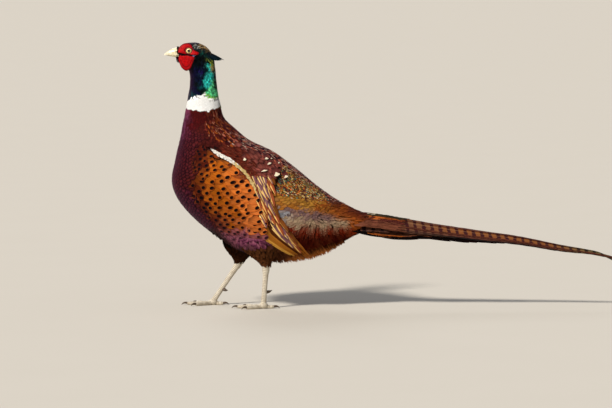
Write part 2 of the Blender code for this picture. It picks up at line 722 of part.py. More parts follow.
def surface_vane(u, turn, heading, length, half, lift, bend, tools, tip=0.1, thick=0.8, sink=1.6):
    """A lock or blade rooted at a place of the trunk. heading turns from straight back towards the belly."""
    root, out = body_frame(u, turn)
    back = body_point(u + 0.05, turn) - body_point(u - 0.05, turn)
    back -= out * np.dot(back, out)
    back /= np.linalg.norm(back)
    down = np.cross(out, back)
    if np.dot(down, body_point(u, turn + 0.05 * math.copysign(1, math.pi - turn)) - root) < 0:
        down = -down
    ahead = back * math.cos(heading) + down * math.sin(heading)
    wide = np.cross(out, ahead)

    def shape(a, b):
        reach = length * a
        rise = -sink + (sink + lift) * min(1.0, a * 1.6) + 0.3 * (1 - b * b)
        rise -= reach * reach / (2 * bend)
        return root + ahead * reach + wide * half * b * blade_width(a, point=tip, root=0.6, widest=0.35) + out * rise

    return vane("plume", shape, thick, tools, along=3, across=1)


# Rows of rump plumes: (station, first turn, last turn, count each side, length, half width, heading)
RUMP_ROWS = (
    (16.3, 1.5, 2.5, 4, 38, 9.0, 0.60),
    (17.4, 1.2, 2.4, 4, 34, 8.5, 0.50),
)


def torso_and_rump(names, collection, slots, grow=0.0):
    """The trunk in front of and behind its widest station."""
    torso = body_piece(names[0], TRUNK_STARTS, RUMP_STARTS, TORSO_RINGS, TRUNK_SIDES, collection, slots[0], grow)
    rump = body_piece(names[1], RUMP_STARTS, TRUNK_ENDS, RUMP_RINGS, TRUNK_SIDES, collection, slots[1], grow)
    return torso, rump


def make_trunk(parts, tools):
    """Torso and rump, each hollowed where the wings lie, and the plumes that hang over the vent."""
    torso, rump = torso_and_rump(("torso", "rump"), parts, ("plumage_breast", "plumage_rump"))
    plumes = []
    for u, first, last, count, length, half, heading in RUMP_ROWS:
        for k in range(count):
            turn = first + (last - first) * k / (count - 1)
            for angle in (turn, 2 * math.pi - turn):
                plumes.append(surface_vane(u, angle, heading, length, half, 1.6, 95.0, tools))
    join(rump, plumes, "MANIFOLD")
    for piece in (torso, rump):
        pockets = []
        for side in (-1, 1):
            pockets.append(wing_outline(side, POCKET_FLOOR, 40.0, 1.2, WING_LENGTH, "pocket", tools, 20, 4))
        cut(piece, pockets, "MANIFOLD")


# Legs

def make_leg(word, parts, tools):
    side = -1 if word == "left" else 1
    hip, ankle, sole = (np.array(LEGS[word][k]) for k in ("hip", "ankle", "sole"))
    slant = (ankle - sole) / np.linalg.norm(ankle - sole)
    knee_top = ankle + slant * (SHANK_TOP_Z - ankle[2]) / slant[2]
    rings = []
    for t, wide, deep in THIGH_RINGS:
        middle = hip + (knee_top - hip) * t
        middle[2] = hip[2] + (SHANK_TOP_Z + GAP / MM - hip[2]) * t
        turns = np.linspace(0, 2 * math.pi, 17)[:-1]
        rings.append([middle + np.array([deep * math.cos(a), wide * math.sin(a), 0]) for a in turns])
    thigh = loft("thigh_" + word, rings, parts, "plumage_thigh")
    for cutter in torso_and_rump(("torso_cutter", "rump_cutter"), tools, (None, None), GAP / MM):
        cut(thigh, [cutter], "MANIFOLD")

    top = knee_top + slant * 3
    line = [top, ankle, ankle - slant * 9, (ankle + sole) / 2, sole + slant * 9, sole + slant * 0.5]
    shank = limb("shank_" + word, line, (5.6, 5.9, 4.7, 4.1, 4.3, 5.0), parts, "leg", sides=12)
    bisect(shank, (0, 0, SHANK_TOP_Z), (0, 0, 1))
    bisect(shank, (0, 0, 7.2), (0, 0, -1))

    foot = ellipsoid("foot_" + word, sole + np.array([0, 0, -1.0]), (7.4, 6.6, 5.6), parts, "leg", rings=8, sides=14)
    toes = []
    for number, (toe, (splay, length)) in enumerate(TOES.items(), 1):
        turn = math.pi + math.radians(splay) * side
        ahead = np.array([math.cos(turn), math.sin(turn), 0])
        base = np.array([sole[0], sole[1], TOE_HEIGHT])
        arch = ((0.0, 2.6), (0.18, 1.0), (0.45, 0.35), (0.7, 0.2), (1.0, 0.5))
        line = [base + ahead * length * t + np.array([0, 0, rise]) for t, rise in arch]
        radii = [TOE_THICK * f for f in (1.35, 1.15, 1.0, 0.92, 0.72)]
        toes.append(limb(toe, line, radii, tools, sides=8))
        end = line[-1]
        rise = (0.0, 0.5, -0.4, -2.6)
        reach = (2 * GAP / MM + CLAW_LENGTH * t for t in (0, 0.35, 0.7, 1.0))
        claw_line = [end + ahead * r + np.array([0, 0, up]) for r, up in zip(reach, rise)]
        claw_radii = (2.0, 1.6, 1.1, 0.55)
        claw = limb("claw_%s_%d" % (word, number), claw_line, claw_radii, parts, "claw", sides=8)
        bisect(claw, (0, 0, 0), (0, 0, -1))
    join(foot, toes, "MANIFOLD")
    bisect(foot, (0, 0, 0), (0, 0, -1))
    bisect(foot, (0, 0, 7.2 - GAP / MM), (0, 0, 1))
    spur_root = sole + (ankle - sole) * 0.36
    out = np.array([0.9, -side * 0.42, 0.0])
    out -= slant * np.dot(out, slant)
    out /= np.linalg.norm(out)
    spur_line = [spur_root + out * d + np.array([0, 0, 0.02 * d * d]) for d in (5.4, 8.2, 11.0, 14.0)]
    spur = limb("spur_" + word, spur_line, (2.9, 2.3, 1.4, 0.35), parts, "claw", sides=8)
    return thigh, shank, foot, spur


def main():
    clear_scene()
    scene = bpy.context.scene
    parts = bpy.data.collections.new(BODY_NAME)
    tools = bpy.data.collections.new("tools")
    for group in (parts, tools):
        scene.collection.children.link(group)
    make_head(parts, tools)
    body_piece("neck", NECK_STARTS, COLLAR_STARTS, 8, NECK_SIDES, parts, "plumage_head")
    body_piece("collar", COLLAR_STARTS, TRUNK_STARTS, 4, NECK_SIDES, parts, "plumage_collar")
    make_trunk(parts, tools)
    for side in (-1, 1):
        make_wing(side, parts, tools)
    make_tail(parts, tools)
    for word in LEGS:
        make_leg(word, parts, tools)
    for piece in parts.objects:
        piece.data.shade_smooth()
        piece.data.set_sharp_from_angle(angle=math.radians(35))


main()
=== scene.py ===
# %% [markdown]
# # A cock pheasant, feather by feather
# A bird's looks come from thousands of feathers that lie over one another like tiles. Painting
# them on a smooth body gives a toy. Modelling every barb gives a file that nobody can open. The
# way between is used here: each feather is one thin closed vane of a few dozen faces, laid along
# a curved surface that is written as a formula, and its pattern is worked out in the shader.
#
# The solids of the bird are loaded first. They say where everything is.

# %% Load the solids
import math

import bpy
import numpy as np
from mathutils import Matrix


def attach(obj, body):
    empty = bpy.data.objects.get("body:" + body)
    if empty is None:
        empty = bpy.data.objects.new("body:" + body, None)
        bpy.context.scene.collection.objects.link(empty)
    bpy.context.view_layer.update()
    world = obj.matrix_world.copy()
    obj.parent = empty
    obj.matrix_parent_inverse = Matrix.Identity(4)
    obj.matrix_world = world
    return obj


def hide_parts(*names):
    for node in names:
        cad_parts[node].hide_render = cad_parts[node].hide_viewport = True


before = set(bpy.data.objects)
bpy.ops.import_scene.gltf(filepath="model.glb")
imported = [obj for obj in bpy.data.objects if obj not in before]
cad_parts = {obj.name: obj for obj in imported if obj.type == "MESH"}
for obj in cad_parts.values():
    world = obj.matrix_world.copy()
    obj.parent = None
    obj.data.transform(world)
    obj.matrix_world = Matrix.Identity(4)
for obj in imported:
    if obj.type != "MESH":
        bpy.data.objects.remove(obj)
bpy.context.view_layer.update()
MM = 0.001
SIDES = ((-1, "left"), (1, "right"))     # the sign of y, and the word in a piece's name
luck = np.random.default_rng(29)


def errors(like):
    """A random error for each of a batch, most often between -1 and 1."""
    return luck.normal(size=len(like))


# %% [markdown]
# ## Curves
# A body is drawn with few sizes and smooth lines between them. A cubic curve through the sizes
# does that. It is worked out for whole arrays of places at once, because there are hundreds of
# thousands of points to place.

# %% A smooth curve through a few sizes


def smooth_curve(knots, values, at):
    """Cubic pieces through values at knots. The slope at a knot is that of the line between its
    neighbours. Past the ends the curve runs straight on."""
    knots, values, at = (np.asarray(v, float) for v in (knots, values, at))
    slopes = np.gradient(values, knots, axis=0)
    inside = np.clip(at, knots[0], knots[-1])
    i = np.clip(np.searchsorted(knots, inside, side="right") - 1, 0, len(knots) - 2)
    step = knots[i + 1] - knots[i]
    t = (inside - knots[i]) / step
    past = at - inside
    if values.ndim > 1:
        t, step, past = t[..., None], step[..., None], past[..., None]
    ends = np.where(past > 0, slopes[-1], slopes[0]) * past
    start = (2 * t**3 - 3 * t**2 + 1) * values[i] + (t**3 - 2 * t**2 + t) * step * slopes[i]
    end = (3 * t**2 - 2 * t**3) * values[i + 1] + (t**3 - t**2) * step * slopes[i + 1]
    return start + end + ends


def profile(table, at):
    """A smooth curve through a table of {place: size}."""
    return smooth_curve(list(table), list(table.values()), at)


def ease(low, high, at):
    """0 below low, 1 above high and a soft step between."""
    t = np.clip((at - low) / (high - low), 0, 1)
    return t * t * (3 - 2 * t)


def vectors(*parts):
    """Points, or rows of a few numbers, from their parts."""
    return np.stack(np.broadcast_arrays(*parts), axis=-1)


print("half way between 1 and 3 the curve gives", float(profile({0: 1, 1: 3}, 0.5)))

# %% [markdown]
# ## The body as a formula
# Head, neck and trunk are one form: sections that turn with the spine. Each station has a point
# of the back line, the point of the throat, breast or belly across from it, and a half width.
# The solids were made from the same stations, so a feather laid on this formula lies on them.

# %% Stations of the body, in mm
STATIONS = {
    "bill_base": (-355.8, 429.4, -355.2, 412.0, 7.6),
    "forehead": (-348.4, 434.2, -350.6, 407.6, 12.2),
    "brow": (-339.3, 436.0, -345.1, 399.8, 15.0),
    "crown": (-326.0, 435.4, -341.6, 391.2, 16.4),
    "nape": (-311.6, 428.0, -340.0, 384.4, 17.2),
    "throat": (-302.0, 414.2, -339.4, 378.2, 17.4),
    "upper_neck": (-298.2, 394.4, -339.6, 371.0, 17.6),
    "mid_neck": (-296.4, 374.6, -340.2, 362.0, 18.4),
    "collar_top": (-293.2, 349.5, -342.6, 349.0, 21.5),
    "collar_foot": (-290.0, 335.8, -346.8, 324.4, 25.0),
    "neck_root": (-284.5, 314.0, -351.4, 304.0, 31.0),
    "shoulder_top": (-268.0, 297.0, -355.6, 280.6, 41.0),
    "shoulder": (-242.0, 275.8, -363.4, 247.0, 56.0),
    "breast": (-201.5, 256.0, -369.6, 204.0, 67.5),
    "mid_back": (-162.0, 226.6, -350.0, 164.6, 72.0),
    "belly": (-132.2, 201.8, -300.5, 120.0, 69.0),
    "vent": (-102.5, 180.6, -231.0, 84.0, 57.0),
    "rump": (-84.0, 170.6, -160.0, 84.0, 41.0),
    "tail_root": (-73.0, 164.6, -98.0, 105.0, 28.0),
    "tail_face": (-60.0, 158.6, -62.0, 122.6, 19.0),
}
STATION_SIZES = np.array(list(STATIONS.values()))
STATION_NUMBERS = np.arange(len(STATIONS))
SQUARENESS = 0.94
NECK_STARTS, TRUNK_STARTS, TRUNK_ENDS = 5, 9, 19      # counted in STATIONS


def fuller(v):
    """A sine or cosine raised to a power under 1, so that sections are a little fuller than ellipses."""
    return np.sign(v) * np.abs(v) ** SQUARENESS


def body(u, turn, lift=0.0):
    """A point of the body: the middle of section u, plus its half line to the back times cos(turn), plus
    its half width to the left times sin(turn). turn is 0 on the back, pi on the belly. lift is outwards."""
    u, turn, lift = np.broadcast_arrays(u, turn, lift)
    sizes = smooth_curve(STATION_NUMBERS, STATION_SIZES, u)
    middle = (sizes[..., 0:2] + sizes[..., 2:4]) / 2
    half = (sizes[..., 0:2] - sizes[..., 2:4]) / 2
    reach = np.linalg.norm(half, axis=-1)
    up = half * (fuller(np.cos(turn)) * (1 + lift / reach))[..., None]
    y = -(sizes[..., 4] + lift) * fuller(np.sin(turn))
    return vectors(middle[..., 0] + up[..., 0], y, middle[..., 1] + up[..., 1])


print("tip of the breast in mm:", body(13, math.pi).round(1))

# %% [markdown]
# The wings and the face lie on the side of the body, and their outlines are known from the
# side. So the half width of the body is also needed at a place of the side view.

# %% Half width of the body, seen from the side


def fan(start, end):
    """Closely spaced sections of the body from one station to another, as lines of the side view."""
    sizes = smooth_curve(STATION_NUMBERS, STATION_SIZES, np.linspace(start, end, 181))
    return (sizes[:, 0:2] + sizes[:, 2:4]) / 2, (sizes[:, 0:2] - sizes[:, 2:4]) / 2, sizes[:, 4]


HEAD_FAN = fan(0, NECK_STARTS)
TRUNK_FAN = fan(TRUNK_STARTS, TRUNK_ENDS)


def half_width(sections, x, z):
    """The section whose line passes through the point is found, and its width is read there: the width
    times the sine of the turn whose cosine is the point's share of the line. It is 0 outside."""
    middles, halves, widths = sections
    x, z = np.broadcast_arrays(np.asarray(x, float), np.asarray(z, float))
    offset = vectors(x.ravel(), z.ravel())[:, None, :] - middles
    beside = halves[:, 0] * offset[..., 1] - halves[:, 1] * offset[..., 0]
    crossing = np.diff(np.sign(beside), axis=1) != 0
    far = np.linalg.norm(offset, axis=-1)
    far_here = np.where(crossing, far[:, :-1], 1e9)
    best = np.where(crossing.any(axis=1), far_here.argmin(axis=1), np.abs(beside).argmin(axis=1))
    at = offset[np.arange(len(best)), best]
    share = (at * halves[best]).sum(axis=1) / (halves[best] ** 2).sum(axis=1)
    turn = np.clip(np.abs(share), 0, 1) ** (1 / SQUARENESS)
    return (widths[best] * np.sqrt(1 - turn**2) ** SQUARENESS).reshape(x.shape)


print("half width at the shoulder in mm:", half_width(TRUNK_FAN, -300, 230).round(1))

# %% [markdown]
# ## Meshes from arrays
# Blender takes a mesh fastest as whole arrays of points and face corners. The helper also hands
# over UV maps and colours that belong to the points, checks which way the faces look by the
# sign of the volume that they enclose, and makes folds sharper than 60 degrees hard edges.

# %% From arrays to a piece of the bird
COARSE_FOLD = math.radians(60)


def placed(name, data):
    """A new object that holds the data, in the scene."""
    made = bpy.data.objects.new(name, data)
    bpy.context.scene.collection.objects.link(made)
    return made


def facing_out(points, faces):
    """The faces, turned round if the volume that they enclose, a sum of corner products, is negative."""
    points = points - points.mean(axis=0)
    a, b, c = (points[faces[:, k]] for k in range(3))
    volume = (a * np.cross(b, c)).sum()
    if faces.shape[1] == 4:
        volume += (a * np.cross(c, points[faces[:, 3]])).sum()
    return faces[:, ::-1] if volume < 0 else faces


def piece(name, points, faces, finish, slot, nodes=(), maps=None, colours=None):
    """An object from points in mm and faces of three or four corners. maps are {UV map: values at the
    points} and colours are {attribute: red, green, blue, alpha at the points}."""
    points = points.reshape(-1, 3)
    faces = facing_out(points, faces)
    corners = faces.ravel()
    mesh = bpy.data.meshes.new(name)
    mesh.vertices.add(len(points))
    mesh.vertices.foreach_set("co", (points * MM).ravel())
    mesh.loops.add(faces.size)
    mesh.loops.foreach_set("vertex_index", corners.astype(np.int32))
    mesh.polygons.add(len(faces))
    mesh.polygons.foreach_set("loop_start", np.arange(0, faces.size, faces.shape[1], dtype=np.int32))
    mesh.update(calc_edges=True)
    mesh.shade_smooth()
    mesh.set_sharp_from_angle(angle=COARSE_FOLD)
    for key, values in (maps or {}).items():
        layer = mesh.uv_layers.new(name=key)
        layer.data.foreach_set("uv", values[corners].astype(np.float32).ravel())
    for key, values in (colours or {}).items():
        layer = mesh.attributes.new(key, "FLOAT_COLOR", "POINT")
        layer.data.foreach_set("color", values.astype(np.float32).ravel())
    mesh.materials.append(finish)
    made = placed(name, mesh)
    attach(made, "root")
    if nodes:
        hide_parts(*nodes)
    print(name, "has", len(faces) * (faces.shape[1] - 2), "triangles")
    return made


# %% [markdown]
# Most forms are grids: rows of points round a limb, a lobe or a bill. A few helpers give the
# places of a grid, join its points with faces, and merge several forms into one.

# %% Grids and tubes


def circle(count):
    """So many even angles in a full turn."""
    return np.linspace(0, 2 * np.pi, count + 1)[:-1]


def grid(first, second):
    """All pairs of two lists of values, as two tables."""
    return np.meshgrid(first, second, indexing="ij")


def grid_faces(rows, columns):
    """Corners of the four-sided faces of a grid of rows times columns points, closed around."""
    row, column = grid(np.arange(rows - 1), np.arange(columns))
    here = row * columns + column
    beside = row * columns + (column + 1) % columns
    return vectors(here, here + columns, beside + columns, beside).reshape(-1, 4)


def halved(faces):
    """Each four-sided face as two triangles."""
    return np.concatenate([faces[:, [0, 1, 2]], faces[:, [0, 2, 3]]])


def tube(rings):
    """Points and faces of a closed form over rings of points, with a middle point at each end."""
    rows, columns = rings.shape[:2]
    ends = [rings[0].mean(axis=0)[None], rings[-1].mean(axis=0)[None]]
    here = np.arange(columns)
    after = (here + 1) % columns
    first = vectors(here, after, rows * columns)
    last = (rows - 1) * columns + vectors(after, here, columns + 1)
    faces = np.concatenate([halved(grid_faces(rows, columns)), first, last])
    return np.concatenate([rings.reshape(-1, 3), *ends]), faces


def merged(forms):
    """Several forms, each of points and faces, as one."""
    starts = np.cumsum([0] + [len(points) for points, _ in forms[:-1]])
    faces = [faces + start for (_, faces), start in zip(forms, starts)]
    return np.concatenate([points for points, _ in forms]), np.concatenate(faces)


print("a tube of 3 rings of 4 has", len(tube(np.zeros((3, 4, 3)))[1]), "triangles")

# %% [markdown]
# ## One feather
# The vane of a feather is a thin leaf with a shaft along its middle. As a mesh it is a row of
# rings, each with a few points over the top and one below, and it closes in a point at the tip.
# Rings stand closer towards the tip, where the outline turns. Every feather of one sort shares
# this template and its faces, and only the places of the points differ.

# %% The template of a vane


class Template:
    """Points of a vane as shares: along from the root to the tip, across from -1 to 1, and height from
    -1 below to 1 over the shaft, with the triangles that join them."""

    def __init__(self, rings, top):
        """rings are packed towards the tip by a power of the share left. A ring has top points and one
        below."""
        share = np.arange(rings) / rings
        along = 1 - (1 - share) ** 1.7
        across = np.append(np.linspace(-1, 1, top), 0.0)
        height = np.append(1 - np.linspace(-1, 1, top) ** 2, -1.0)
        self.along = np.append(np.repeat(along, top + 1), 1.0)
        self.across = np.append(np.tile(across, rings), 0.0)
        self.height = np.append(np.tile(height, rings), 0.0)
        ring = np.arange(top + 1)
        after = (ring + 1) % (top + 1)
        last = (rings - 1) * (top + 1)
        tip = vectors(last + ring, rings * (top + 1), last + after)
        root = vectors(0, np.arange(1, top), np.arange(2, top + 1))
        self.faces = np.concatenate([halved(grid_faces(rings, top + 1)), tip, root])


BROADEST = 0.58              # the share of its length where a vane is broadest


def leaf(along, point):
    """Half width of a vane as a share: it swells from 0.28 to 1 at the broadest place, then falls like a
    circle where point is 2, or to a sharper tip where it is less."""
    rise = 0.28 + 0.72 * np.sin(np.clip(along / BROADEST, 0, 1) * math.pi / 2)
    past = np.clip((along - BROADEST) / (1 - BROADEST), 0, 1)
    return np.where(along < BROADEST, rise, np.sqrt(np.clip(1 - past**point, 0, 1)))


SCALE = Template(4, 3)       # the small feathers of head and neck
CONTOUR = Template(6, 3)     # the feathers that cover the trunk
FLIGHT = Template(12, 5)     # quills of the wing
for word, template in (("scale", SCALE), ("contour", CONTOUR), ("flight", FLIGHT)):
    print(word, "feather:", len(template.faces), "triangles")

# %% [markdown]
# ## Laying feathers on a surface
# A feather bends with the body under it. So its points are not turned into place as a stiff
# card. Each one is moved over the surface by its share of length and width, in the surface's own
# two directions, and then lifted. The root is sunk, and the tip rests on the next row.

# %% Lay a batch of vanes


def surface_steps(surface, p, q, step):
    """How many mm of surface one unit of p is, and one unit of q, measured over a small step."""
    along = surface(p + step, q) - surface(p - step, q)
    around = surface(p, q + step) - surface(p, q - step)
    return [np.linalg.norm(d, axis=-1) / (2 * step) for d in (along, around)]


def lay(surface, p, q, template, length, half, lean=0.0, rise=(-2.0, 0.5), thick=0.22, point=2.0,
        ragged=0.05, step=0.01, tilt=0.0):
    """Points of a batch of vanes with roots at p, q. A point goes its share of the length along p and its
    share of the half width along q, both turned by lean, and is lifted from the first rise to the last.
    tilt lifts one edge of the vane over its neighbour."""
    p, q, length, half, lean = np.broadcast_arrays(p, q, length, half, lean)
    per_p, per_q = surface_steps(surface, p, q, step)
    count = len(p)
    wobble = 1 + ragged * luck.normal(size=(count, len(template.along)))
    reach = length[:, None] * template.along
    aside = half[:, None] * template.across * leaf(template.along, point) * wobble
    turned_c, turned_s = np.cos(lean)[:, None], np.sin(lean)[:, None]
    forward = (reach * turned_c - aside * turned_s) / per_p[:, None]
    sideways = (reach * turned_s + aside * turned_c) / per_q[:, None]
    low, high = (np.broadcast_to(np.asarray(r, float), (count,))[:, None] for r in rise)
    lift = low + (high - low) * template.along**0.6 + thick * template.height * (1.2 - template.along)
    lift = lift + tilt * template.across * template.along
    return surface(p[:, None] + forward, q[:, None] + sideways, lift)


print("a radian round the breast is", surface_steps(body, 13.0, 1.5, 0.01)[1].round(), "mm")

# %% [markdown]
# Fringes, lashes and tufts stand free of the body. A vane of that kind needs only its root, the
# direction it points in, the direction of its width, and how far its tip sinks.

# %% Vanes that stand free


def unit(directions):
    """The directions, each made one long."""
    return directions / np.linalg.norm(directions, axis=1, keepdims=True)


def free_vane(root, ahead, wide, length, half, droop, template, point=1.4):
    """Points of vanes that stand free: along their own direction, sinking with the square of the share."""
    a, b, h = template.along, template.across, template.height
    ahead, wide = unit(ahead), unit(wide)
    up = np.cross(ahead, wide)
    reach = (length[:, None] * a)[..., None] * ahead[:, None]
    aside = (half[:, None] * b * leaf(a, point))[..., None] * wide[:, None]
    rise = (0.2 * half[:, None] * h)[..., None] * up[:, None]
    fall = (droop[:, None] * a**2)[..., None] * np.array([0, 0, -1.0])
    return root[:, None] + reach + aside + rise + fall


print("a direction of two is made", unit(np.array([[0.0, 0.0, 2.0]]))[0])

# %% [markdown]
# Thousands of single objects would be slow. So batches of vanes are gathered, and a whole coat is
# one mesh that carries the looks of each feather as colours of its points.

# %% A coat of feathers


class Coat:
    """Gathers batches of vanes and makes one piece of them."""

    def __init__(self):
        self.points, self.faces, self.maps, self.colours, self.total = [], [], {}, {}, 0

    def add(self, points, template, rows, spread, patch, keep=slice(None), size=0.0015):
        """points are a batch from lay, rows the numbers of each feather's kind, spread how much their
        shades differ, and patch the place of each root on the unwrapped skin, where the feather bakes on
        a patch of this size. keep says which feathers are wanted."""
        points, patch, looks = points[keep], patch[keep], feather_looks(rows[keep], spread)
        count, each = points.shape[:2]
        self.points.append(points.reshape(-1, 3))
        starts = self.total + each * np.arange(count)
        self.faces.append((template.faces + starts[:, None, None]).reshape(-1, 3))
        self.total += count * each
        vane = vectors(0.5 + 0.5 * template.across * leaf(template.along, 2.0), template.along)
        around = vectors(template.across, 2 * template.along - 1) * size
        self.keep(self.maps, "Vane", np.tile(vane, (count, 1)))
        self.keep(self.maps, "OFBake", (patch[:, None, :] + around).reshape(-1, 2))
        for key, values in looks.items():
            self.keep(self.colours, key, np.repeat(values, each, axis=0))

    @staticmethod
    def keep(store, key, values):
        store.setdefault(key, []).append(values)

    def finish(self, name, finish, slot, nodes=()):
        """The piece. Two dictionaries of lists become its maps and colours."""
        joined = [{k: np.concatenate(v) for k, v in store.items()} for store in (self.maps, self.colours)]
        points, faces = np.concatenate(self.points), np.concatenate(self.faces)
        return piece(name, points, faces, finish, slot, nodes, *joined)


print("a coat starts with", Coat().total, "points")

# %% [markdown]
# ## Shader maths as plain expressions
# Feather patterns are sums: a dark rim here, a spot near the tip, fine barbs slanting off the
# shaft. Written as Python expressions they stay short. The small class below wraps a socket, so
# that an expression on it adds the Math nodes, and one method adds any other node.

# %% A socket that can be added and multiplied


class Wire:
    """An output socket. Operators on it add Math nodes."""

    def __init__(self, finish, socket):
        self.finish, self.socket = finish, socket

    def maths(self, operation, *values):
        return self.finish.node("Math", {"operation": operation}, dict(enumerate(values)))

    def __add__(self, other):
        return self.maths("ADD", self, other)

    def __sub__(self, other):
        return self.maths("SUBTRACT", self, other)

    def __rsub__(self, other):
        return self.maths("SUBTRACT", other, self)

    def __mul__(self, other):
        return self.maths("MULTIPLY", self, other)

    def __truediv__(self, other):
        return self.maths("DIVIDE", self, other)

    def __pow__(self, other):
        return self.maths("POWER", self, other)

    def __abs__(self):
        return self.maths("ABSOLUTE", self)

    def sine(self):
        return self.maths("SINE", self)

    def at_least(self, other):
        return self.maths("MAXIMUM", self, other)

    def step(self, low, high):
        """0 below low and 1 above high, soft between. It falls instead where low is the larger."""
        ends = (low, high, 0.0, 1.0) if low < high else (high, low, 1.0, 0.0)
        inputs = dict(enumerate((self, *ends)))
        return self.finish.node("MapRange", {"interpolation_type": "SMOOTHSTEP"}, inputs)

    __radd__ = __add__
    __rmul__ = __mul__


print("a wire knows", sum(callable(made) for made in vars(Wire).values()), "operations")

# %% [markdown]
# A finish is a material in the making. One method adds any node and fills its sockets with
# values or wires, so each finish below reads from top to bottom like a recipe.

# %% A material being made


class Finish:
    """A material and the nodes that are added to it."""

    def __init__(self, name, roughness=0.5, **constant):
        self.material = bpy.data.materials.new(name)
        self.material.use_nodes = True
        self.tree = self.material.node_tree
        self.shader = self.tree.nodes["Principled BSDF"]
        self.shader.inputs["Roughness"].default_value = roughness
        for key, value in constant.items():
            self.shader.inputs[key.replace("_", " ")].default_value = value

    def put(self, socket, value):
        """Links a wire to a socket or sets a plain value on it."""
        if isinstance(value, Wire):
            self.tree.links.new(value.socket, socket)
        elif hasattr(value, "__len__") and len(value) == 3 and socket.type == "RGBA":
            socket.default_value = (*value, 1.0)
        else:
            socket.default_value = value

    def node(self, kind, settings=None, inputs=None, output=0):
        """Any node: its type, its settings, the values of its sockets, and which output is wanted."""
        made = self.tree.nodes.new("ShaderNode" + kind)
        for key, value in (settings or {}).items():
            setattr(made, key, value)
        for key, value in (inputs or {}).items():
            self.put(made.inputs[key], value)
        return Wire(self, made.outputs[output])

    def read(self, attribute, output="Color"):
        return self.node("Attribute", {"attribute_name": attribute}, None, output)

    def parts(self, vector):
        """The three parts of a vector or colour."""
        made = self.node("SeparateXYZ", None, {0: vector})
        return [Wire(self, output) for output in made.socket.node.outputs]

    def mix(self, share, first, second):
        """From the first colour to the second."""
        return self.node("Mix", {"data_type": "RGBA"}, {0: share, 6: first, 7: second}, 2)

    def noise(self, scale, detail=3.0, vector=None):
        """Blender's noise on the piece's own place, in metres."""
        vector = vector or self.node("TexCoord", None, None, "Object")
        return self.node("TexNoise", None, {"Vector": vector, "Scale": scale, "Detail": detail})

    def bump(self, height, strength, distance):
        made = self.node("Bump", None, {"Height": height, "Strength": strength, "Distance": distance})
        self.put(self.shader.inputs["Normal"], made)

    def surface(self, **sockets):
        for key, value in sockets.items():
            self.put(self.shader.inputs[key.replace("_", " ")], value)
        return self.material


def paint(red, green, blue):
    """A colour as a picture editor shows it, 0 to 255, made linear for the shader."""
    shown = np.array([red, green, blue]) / 255
    return np.where(shown <= 0.04045, shown / 12.92, ((shown + 0.055) / 1.055) ** 2.4)


print("orange in the shader:", paint(205, 95, 25).round(3))

# %% [markdown]
# ## Feather kinds
# A cock pheasant wears dozens of kinds of feather. A kind says the colour of the vane, its
# metallic sheen, the rim, the spot near the tip, and how much barring or shaft streak it has.
# Skin and feathers ask the same function, so that nothing light shows between the vanes.

# %% The kinds
LOOKS = ("ground", "rim", "spot", "pattern")


def kind(ground, sheen=0.0, rim=(0, 0, 0), rim_share=0.0, spot=(0, 0, 0), spot_share=0.0, bars=0.0,
         shaft=0.0, wedge=0.0):
    """The sixteen numbers of a feather kind. wedge turns the round spot into a wedge open to the root. The
    third number of the last four is chance, which is drawn later for each feather."""
    colours = [*paint(*ground), sheen, *paint(*rim), rim_share, *paint(*spot), spot_share]
    return np.array([*colours, bars, shaft, 0.5, wedge], float)


def rows_of(row, count):
    """The numbers of one kind, for each of so many feathers."""
    return np.repeat(row[None], count, axis=0)


